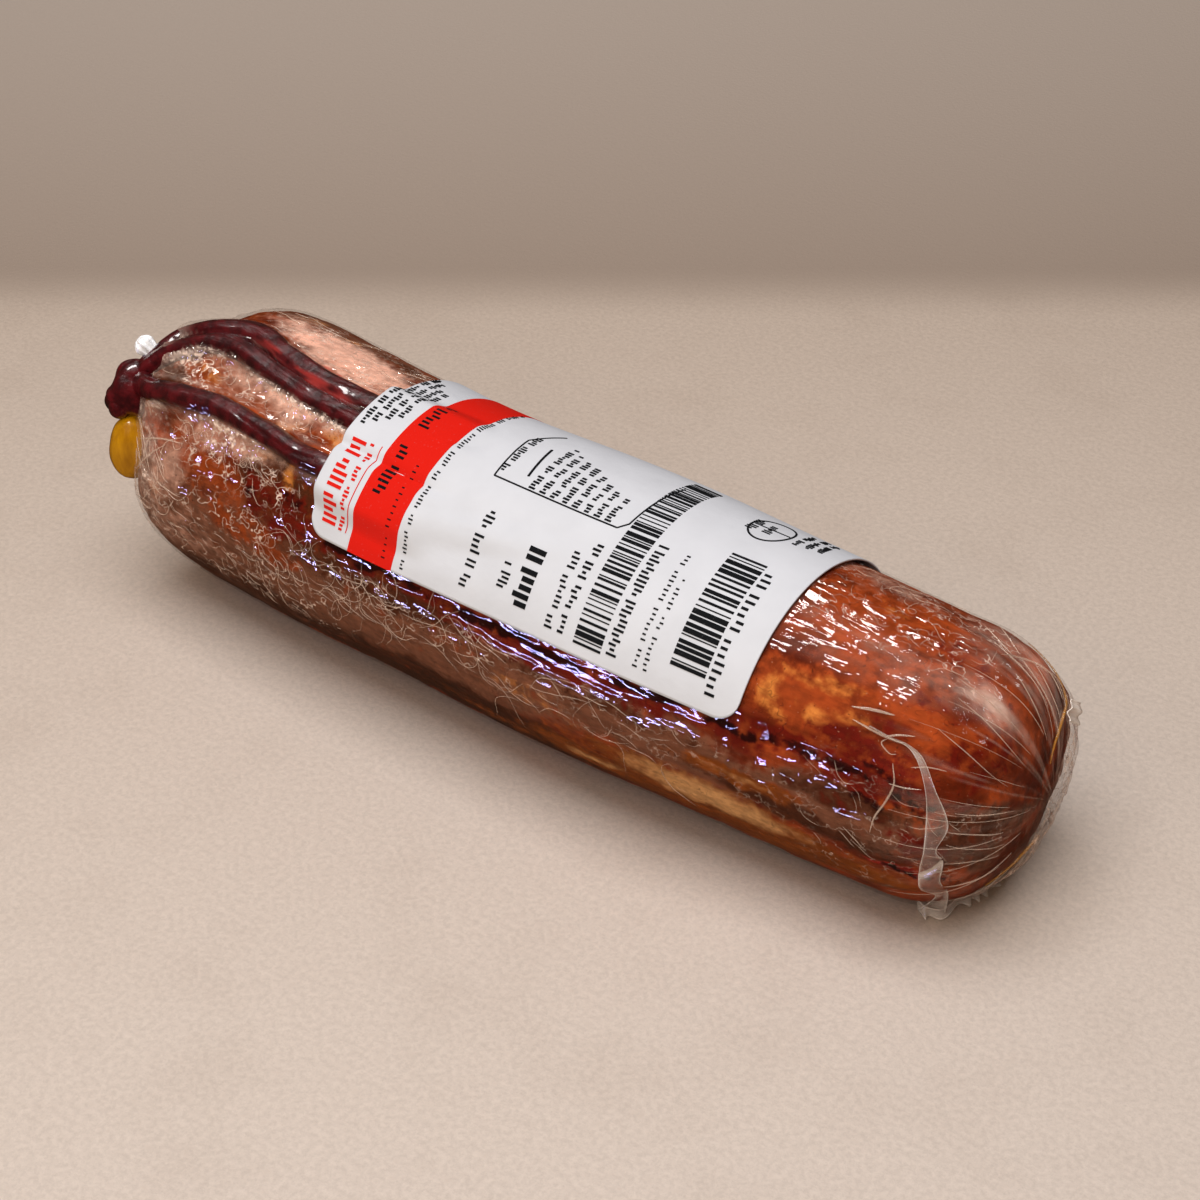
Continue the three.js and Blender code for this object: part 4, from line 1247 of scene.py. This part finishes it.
BLACK_LINES = (  # corners, width
    (((12.6, 72), (11.6, 104), (10.2, 107.5), (-16.6, 107.5), (-17.8, 84), (-14.2, 70)), 0.3),
    (((-11.0, 102), (-12.4, 84)), 0.45),
    (oval_places((31.2, 75.5), (3.7, 10.5)), 0.35),
    (((27.8, 75.5), (34.6, 75.5)), 0.25),
)
RED_BAND = (-37.3, -27.0)
RED_TICKS = (
    ((-44.4, -41.2), (151, 118), 470, 0.62, 0.5, dict(group=(3, 6), space=0.7)),
    ((-40.3, -39.2), (151.5, 118), 471, 0.42, 0.28, {}),
)
RED_LINES = ((((-38.6, 151.5), (-38.6, 117)), 0.16),)


def make_print(name, bars, ticks, lines, band_stations=None):
    points, faces = [], []
    if band_stations:
        mark(points, faces, band_stations, 0.0, LABEL["wrap"], slant=0.0, ink=INK_UNDER_BLACK)
    for bar in bars:
        bar_field(points, faces, *bar)
    for *block, unusual in ticks:
        tick_block(points, faces, *block, **unusual)
    for corners, width in lines:
        line(points, faces, corners, width)
    return to_object(name, points, faces, smooth=False)


# --- The loose film ---------------------------------------------------------------------------------

def make_tail():
    """The nub of tied film: a pleated neck with a round tip."""
    start, end = np.array(FILM_TAIL["start"]), np.array(FILM_TAIL["end"])
    axis = end - start
    length = np.linalg.norm(axis)
    axis = axis / length
    side = unit(np.cross(axis, (0, 0, 1)))
    up = np.cross(axis, side)
    share = np.linspace(0, 1, 60)
    neck = np.interp(share, (0, FILM_TAIL["waist_at"], FILM_TAIL["neck_at"], 1.0),
                     [FILM_TAIL[part] for part in ("root", "waist", "neck", "tip")])
    dome = np.linspace(0.05, np.pi / 2 - 0.05, 14)
    along = np.concatenate([share * length, length + FILM_TAIL["tip"] * np.sin(dome)])
    radius = np.concatenate([neck, FILM_TAIL["tip"] * np.cos(dome)])
    sweep = np.linspace(0, 2 * np.pi, 48, endpoint=False)
    twist = 2.0 * np.sin(along[:, None] / 2)
    pleat = 1 + FILM_TAIL["pleat_depth"] * np.cos(FILM_TAIL["pleats"] * sweep[None, :] + twist)
    ring = side * np.cos(sweep)[:, None] + up * np.sin(sweep)[:, None]
    rings = start + axis * along[:, None, None] + ring[None] * (radius[:, None] * pleat)[..., None]
    rings += 0.35 * (layered_noise(rings, 1.5, 221) - 0.5)[..., None] * ring[None]
    points, faces = closed_tube(rings, start, start + axis * (length + FILM_TAIL["tip"]))
    return to_object("film_tail", points, faces)


def loose_leaf(name, points, faces, cover):
    """A leaf of film, whose two faces cover what is behind them alike."""
    return to_object(name, points, faces, {"cover": np.tile(cover.ravel(), 2)})


def make_flap():
    """The standing flap: a leaf of film between two edges, folded at a crease, with its feet on the floor."""
    count, columns, off_skin, half_thickness = 170, 21, 0.55, 0.05
    edges = []
    for route, foot in zip((FLAP_LEFT, FLAP_RIGHT), FLAP_FEET):
        station, turn = np.array(route, float).T
        places = loin_point(station, np.radians(turn), off_skin)
        edges.append(smooth_path(np.vstack([places, [foot]]), count))
    left, right = edges
    share = np.linspace(0, 1, count)
    u = np.linspace(0, 1, columns)
    middle = left[:, None] * (1 - u)[None, :, None] + right[:, None] * u[None, :, None]
    across = right - left
    along = np.gradient((left + right) / 2, axis=0)
    outwards = unit(np.cross(across, along))
    crease = share[:, None] - FLAP_CREASE + 0.05 * (u[None, :] - 0.5)
    belly = 0.55 * np.sin(np.pi * u)[None, :] * np.sin(7 * share + 0.6)[:, None]
    height = belly + 0.9 * np.exp(-(crease / 0.018) ** 2) + 0.25
    top = middle + outwards[:, None] * (height + half_thickness)[..., None]
    bottom = middle + outwards[:, None] * (height - half_thickness)[..., None]
    points = slab_points(top, bottom)
    points[:, 2] = np.maximum(points[:, 2], LOOSE_FILM_ON_FLOOR)
    rim = np.abs(2 * u - 1)[None, :] ** 12 * np.ones((count, 1))
    thread = 1 - smoothstep(share[:, None], 0.12, 0.26)
    cover = 0.02 + 0.6 * rim + 0.5 * np.exp(-(crease / 0.014) ** 2) + 0.4 * thread
    cover = cover + 0.22 * smoothstep(share[:, None], 0.66, 0.82) * np.abs(np.sin(9 * share[:, None] + 4 * u))
    return loose_leaf("film_flap", points, sheet_faces(count, columns), cover)


def make_frill():
    """The crinkled edge of film that lies along the floor beyond the flap."""
    count, columns = 120, 7
    route = smooth_path(FRILL_ROUTE, count)
    share = np.linspace(0, 1, count)
    ripple = 0.7 * np.sin(34 * share + 3 * np.sin(9 * share))
    u = np.linspace(0, 1, columns)
    rise = (1.5 + 0.8 * np.sin(11 * share + 1)) * (1 - 0.5 * share)
    sideways = np.array((-0.8, 0.6, 0.0))
    top = (route[:, None] + sideways * (ripple[:, None] * (1 - u) + 0.9 * u)[..., None]
           + np.array((0, 0, 1.0)) * (rise[:, None] * u)[..., None])
    bottom = top + np.array((-0.08, 0.06, 0.0))
    points = slab_points(bottom, top)
    points[:, 2] = np.maximum(points[:, 2], LOOSE_FILM_ON_FLOOR)
    cover = 0.22 + 0.6 * (np.abs(2 * u - 1)[None, :] ** 8) * np.ones((count, 1))
    return loose_leaf("film_frill", points, sheet_faces(count, columns), cover)


def make_seam(material):
    """The welded seam that runs round the far end, in amber film."""
    lines = []
    for route in (SEAM_ROUTE, SEAM_LOWER):
        station, turn = smooth_path(route, 60).T
        place = loin_point(np.minimum(station, FAR_END - POLE_MARGIN), np.radians(turn), 0.1)
        place[:, 2] = np.maximum(place[:, 2], 0.4)
        lines.append((place.tolist(), SEAM_HALF_WIDTH))
    return ribs_along("film_seam", lines, material)


def make_tab():
    """The small wavy tab of film at the far end, wider at its foot."""
    steps, half_thickness = 26, 0.09
    share = np.linspace(-0.5, 0.5, steps)
    u, v = np.meshgrid(share, share, indexing="ij")
    width, height = TAB["size"]
    wave = 0.5 * np.sin(5.5 * u + 3 * v) + 0.35 * np.sin(11 * v)
    c, s = math.cos(-TAB["tilt"]), math.sin(-TAB["tilt"])

    def place(offset):
        x = wave * 0.9 + offset
        y, z = u * width * (1 - 0.3 * v), v * height
        return np.stack([x, y * c - z * s, y * s + z * c], -1) + np.array(TAB["at"])

    points = slab_points(place(half_thickness), place(-half_thickness))
    faces = [face[::-1] for face in sheet_faces(steps, steps)]
    cover = 0.42 + 0.5 * np.maximum(np.abs(2 * u), np.abs(2 * v)) ** 4
    return loose_leaf("film_tab", points, faces, cover)


# --- Floor, light and camera ------------------------------------------------------------------------

CAMERA_TARGET = np.array((0.0, 0.56, 26.96))
CAMERA_DISTANCE = 422.07
CAMERA_RISE, CAMERA_SWING = math.radians(35.5), math.radians(36.85)
CAMERA_BACK = np.array((math.sin(CAMERA_SWING) * math.cos(CAMERA_RISE),
                        -math.cos(CAMERA_SWING) * math.cos(CAMERA_RISE), math.sin(CAMERA_RISE)))
CAMERA_LENS, CAMERA_SENSOR, CAMERA_CLIP = 70, 36, (0.01, 20)  # millimetres, and metres for the clip
FLOOR_EDGE = 0.5105  # metres from under the camera to where the floor ends in the soft darker ground
FLOOR_EDGE_EASE = (0.014, 0.016)
FLOOR_NEAR, GROUND_FAR, FLOOR_HALF = 0.22, 0.72, 2.0  # metres


def camera_place():
    return in_frame(CAMERA_TARGET + CAMERA_BACK * CAMERA_DISTANCE)[0]


def make_camera():
    data = bpy.data.cameras.new("camera")
    data.lens, data.sensor_width = CAMERA_LENS, CAMERA_SENSOR
    data.clip_start, data.clip_end = CAMERA_CLIP
    camera = new_object("camera", data)
    right = Vector((math.cos(CAMERA_SWING), math.sin(CAMERA_SWING), 0))
    back = Vector(CAMERA_BACK)
    up = back.cross(right)
    turn = Matrix((right, up, back)).transposed().to_4x4()
    camera.matrix_world = Matrix.Translation(Vector(camera_place())) @ turn
    bpy.context.scene.camera = camera


def floor_material():
    """Pale honed stone, painted darker away from the camera as a painted falloff of light, with the darker
    out-of-focus ground behind it.
    """
    made, tree = new_material("pale_honed_stone")
    place = node(tree, "ShaderNodeTexCoord").outputs["Object"]
    ahead = (-math.sin(CAMERA_SWING), math.cos(CAMERA_SWING), 0)
    spot = camera_place()
    from_camera = spot[0] * ahead[0] + spot[1] * ahead[1]
    along = node(tree, "ShaderNodeVectorMath", dict(operation="DOT_PRODUCT"), i0=place, i1=ahead)
    distance = maths(tree, "SUBTRACT", along.outputs["Value"], from_camera)
    edge = eased(tree, distance, FLOOR_EDGE - FLOOR_EDGE_EASE[0], FLOOR_EDGE + FLOOR_EDGE_EASE[1])
    near = node(tree, "ShaderNodeMapRange", i0=distance, i1=FLOOR_NEAR, i2=FLOOR_EDGE).outputs[0]
    far = node(tree, "ShaderNodeMapRange", i0=distance, i1=FLOOR_EDGE, i2=GROUND_FAR).outputs[0]
    mottle = noise(tree, 0.035, detail=6.0, roughness=0.6)
    speck = noise(tree, 0.45, detail=5.0, roughness=0.65)
    # The stone is painted darker away from the camera: a painted falloff of light.
    stone = mixed(tree, near, colour("#e6d8ca"), colour("#d5c3b1"))
    blot = maths(tree, "MULTIPLY", maths(tree, "SUBTRACT", mottle, 0.5), 1.6, True)
    stone = mixed(tree, maths(tree, "MULTIPLY", blot, 0.32), stone, colour("#a08a76"))
    fleck = maths(tree, "MULTIPLY", maths(tree, "SUBTRACT", speck, 0.6), 4.0, True)
    stone = mixed(tree, maths(tree, "MULTIPLY", fleck, 0.3), stone, colour("#8f7763"))
    ground = mixed(tree, far, colour("#ad9b8b"), colour("#d6c7b8"))
    grit = noise(tree, 0.9, detail=5.0, roughness=0.7)
    stone = mixed(tree, 1.0, stone, eased(tree, grit, 0.3, 0.7, 0.90, 1.06), "MULTIPLY")
    tone = mixed(tree, edge, stone, ground)
    bump = node(tree, "ShaderNodeBump", Height=grit, Strength=0.35, Distance=0.0006).outputs[0]
    surface = node(tree, "ShaderNodeBsdfPrincipled", Base_Color=tone, Roughness=0.65, Normal=bump)
    surface.inputs["Specular IOR Level"].default_value = 0.25
    finish_material(tree, surface.outputs[0])
    return made


def make_floor():
    mesh = bpy.data.meshes.new("floor")
    corners = [(x * FLOOR_HALF, y * FLOOR_HALF, 0) for x, y in ((-1, -1), (1, -1), (1, 1), (-1, 1))]
    mesh.from_pydata(corners, [], [(0, 1, 2, 3)])
    obj = new_object("floor", mesh)
    mesh.materials.append(floor_material())
    obj.visible_glossy = False  # the film mirrors the lamps, not the pale floor


LIGHTS = (  # name, place and size in metres, watts, colour, whether it lights surfaces, pieces it is kept to
    ("overhead_softbox", (0.00, -0.10, 0.80), (0.70, 0.60), 5.5, "#f8f9ff", True, None),
    ("front_fill", (0.06, -0.62, 0.62), (0.60, 0.45), 1.75, "#fff0e0", True, None),
    ("loin_fill", (0.06, -0.62, 0.50), (0.60, 0.45), 1.55, "#fffaf4", True, "loin"),
    ("overhead_shine", (-0.20, 0.04, 0.62), (0.62, 0.15), 8.0, "#fffdfb", False, "wet"),
    ("end_shine", (0.37, 0.17, 0.62), (0.16, 0.12), 0.4, "#fffdfb", False, "film"),
    ("window_strip", (-0.27, -0.66, 0.03), (0.32, 0.06), 3.2, "#b9b4ff", False, "film"),
)
LIGHTS_AIM = (0, 0, 0.027)  # the loin's middle, in metres
ROOM_COLOUR, ROOM_LIGHT, ROOM_REFLECTION = "#ffd9b4", 0.105, 0.04


def make_lights(pieces):
    """The studio's lamps. The ones that only shine are kept to the wet pieces or to the film alone."""
    film_names = ("film_skin", "film_flap", "film_tab", "film_tail", "film_frill")
    dull_names = ("cured_loin", "paper_label", "label_black_print", "label_red_print")
    groups = {
        "loin": pieces,
        "wet": [piece for piece in pieces if piece.name not in dull_names],
        "film": [piece for piece in pieces if piece.name in film_names],
    }
    collections = {}
    for group, members in groups.items():
        collections[group] = bpy.data.collections.new(group + "_pieces")
        for piece in members:
            collections[group].objects.link(piece)
    for name, place, (width, height), watts, code, lights_surfaces, kept_to in LIGHTS:
        data = bpy.data.lights.new(name, "AREA")
        data.shape, data.size, data.size_y = "RECTANGLE", width, height
        data.energy, data.color = watts, colour(code)[:3]
        light = new_object(name, data)
        light.location = place
        light.rotation_euler = (Vector(LIGHTS_AIM) - Vector(place)).to_track_quat("-Z", "Y").to_euler()
        light.visible_diffuse = lights_surfaces
        light.visible_glossy = not lights_surfaces
        if kept_to:
            light.light_linking.receiver_collection = collections[kept_to]


def make_room():
    """An even room: full light on surfaces, but dim in reflections, as a studio's dark surroundings are."""
    world = bpy.data.worlds.new("studio")
    world.use_nodes = True
    tree = world.node_tree
    tree.nodes.clear()
    gloss_ray = node(tree, "ShaderNodeLightPath").outputs["Is Glossy Ray"]
    strength = node(tree, "ShaderNodeMapRange", i0=gloss_ray, i3=ROOM_LIGHT, i4=ROOM_REFLECTION).outputs[0]
    background = node(tree, "ShaderNodeBackground", Color=colour(ROOM_COLOUR), Strength=strength)
    node(tree, "ShaderNodeOutputWorld", Surface=background.outputs[0])
    bpy.context.scene.world = world


# --- Assembly ---------------------------------------------------------------------------------------

def dress(obj, material, replaced=None):
    """Gives a piece its material, unless its own nodes set it, and its place in the part."""
    if material is not None:
        obj.data.materials.clear()
        obj.data.materials.append(material)
    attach(obj, "root")
    if replaced:
        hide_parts(replaced)


cord_material = wet_cord()
loose_film = folded_film("loose_clear_film", 0.04, "#f3e6da")
crease_film = folded_film("creased_clear_film", 0.34, "#e6ccb6")
dress(make_flesh(), cured_flesh(), "wrapped_loin")
film = make_film()
film.visible_shadow = False  # clear film takes next to no light from what it wraps
dress(film, clear_film(), "wrapped_loin")
dress(make_creases(crease_film), None)
for strand_name in STRANDS:
    dress(make_strand(strand_name), cord_material, strand_name)
dress(make_knot(), cord_material, "knot")
dress(make_lobe(), golden_fat(), "yellow_lobe")
dress(make_label(), label_paper(), "label")
black_print = make_print("label_black_print", BLACK_BARS, BLACK_TICKS, BLACK_LINES)
dress(black_print, print_ink("black_label_ink", "#17181a"))
red_print = make_print("label_red_print", (), RED_TICKS, RED_LINES, RED_BAND)
dress(red_print, print_ink("red_label_ink", "#dc2015"))
dress(make_tail(), folded_film("tied_film_tail", 1.4, "#ffffff", 0.3))
dress(make_flap(), loose_film)
dress(make_frill(), loose_film)
dress(make_seam(folded_film("amber_film_seam", 0.45, "#c88a34")), None)
dress(make_tab(), loose_film)

make_floor()
make_lights([piece for piece in bpy.context.scene.objects
             if piece.type == "MESH" and piece.name != "floor"])
make_room()
make_camera()
bpy.context.scene.view_settings.view_transform = "Standard"
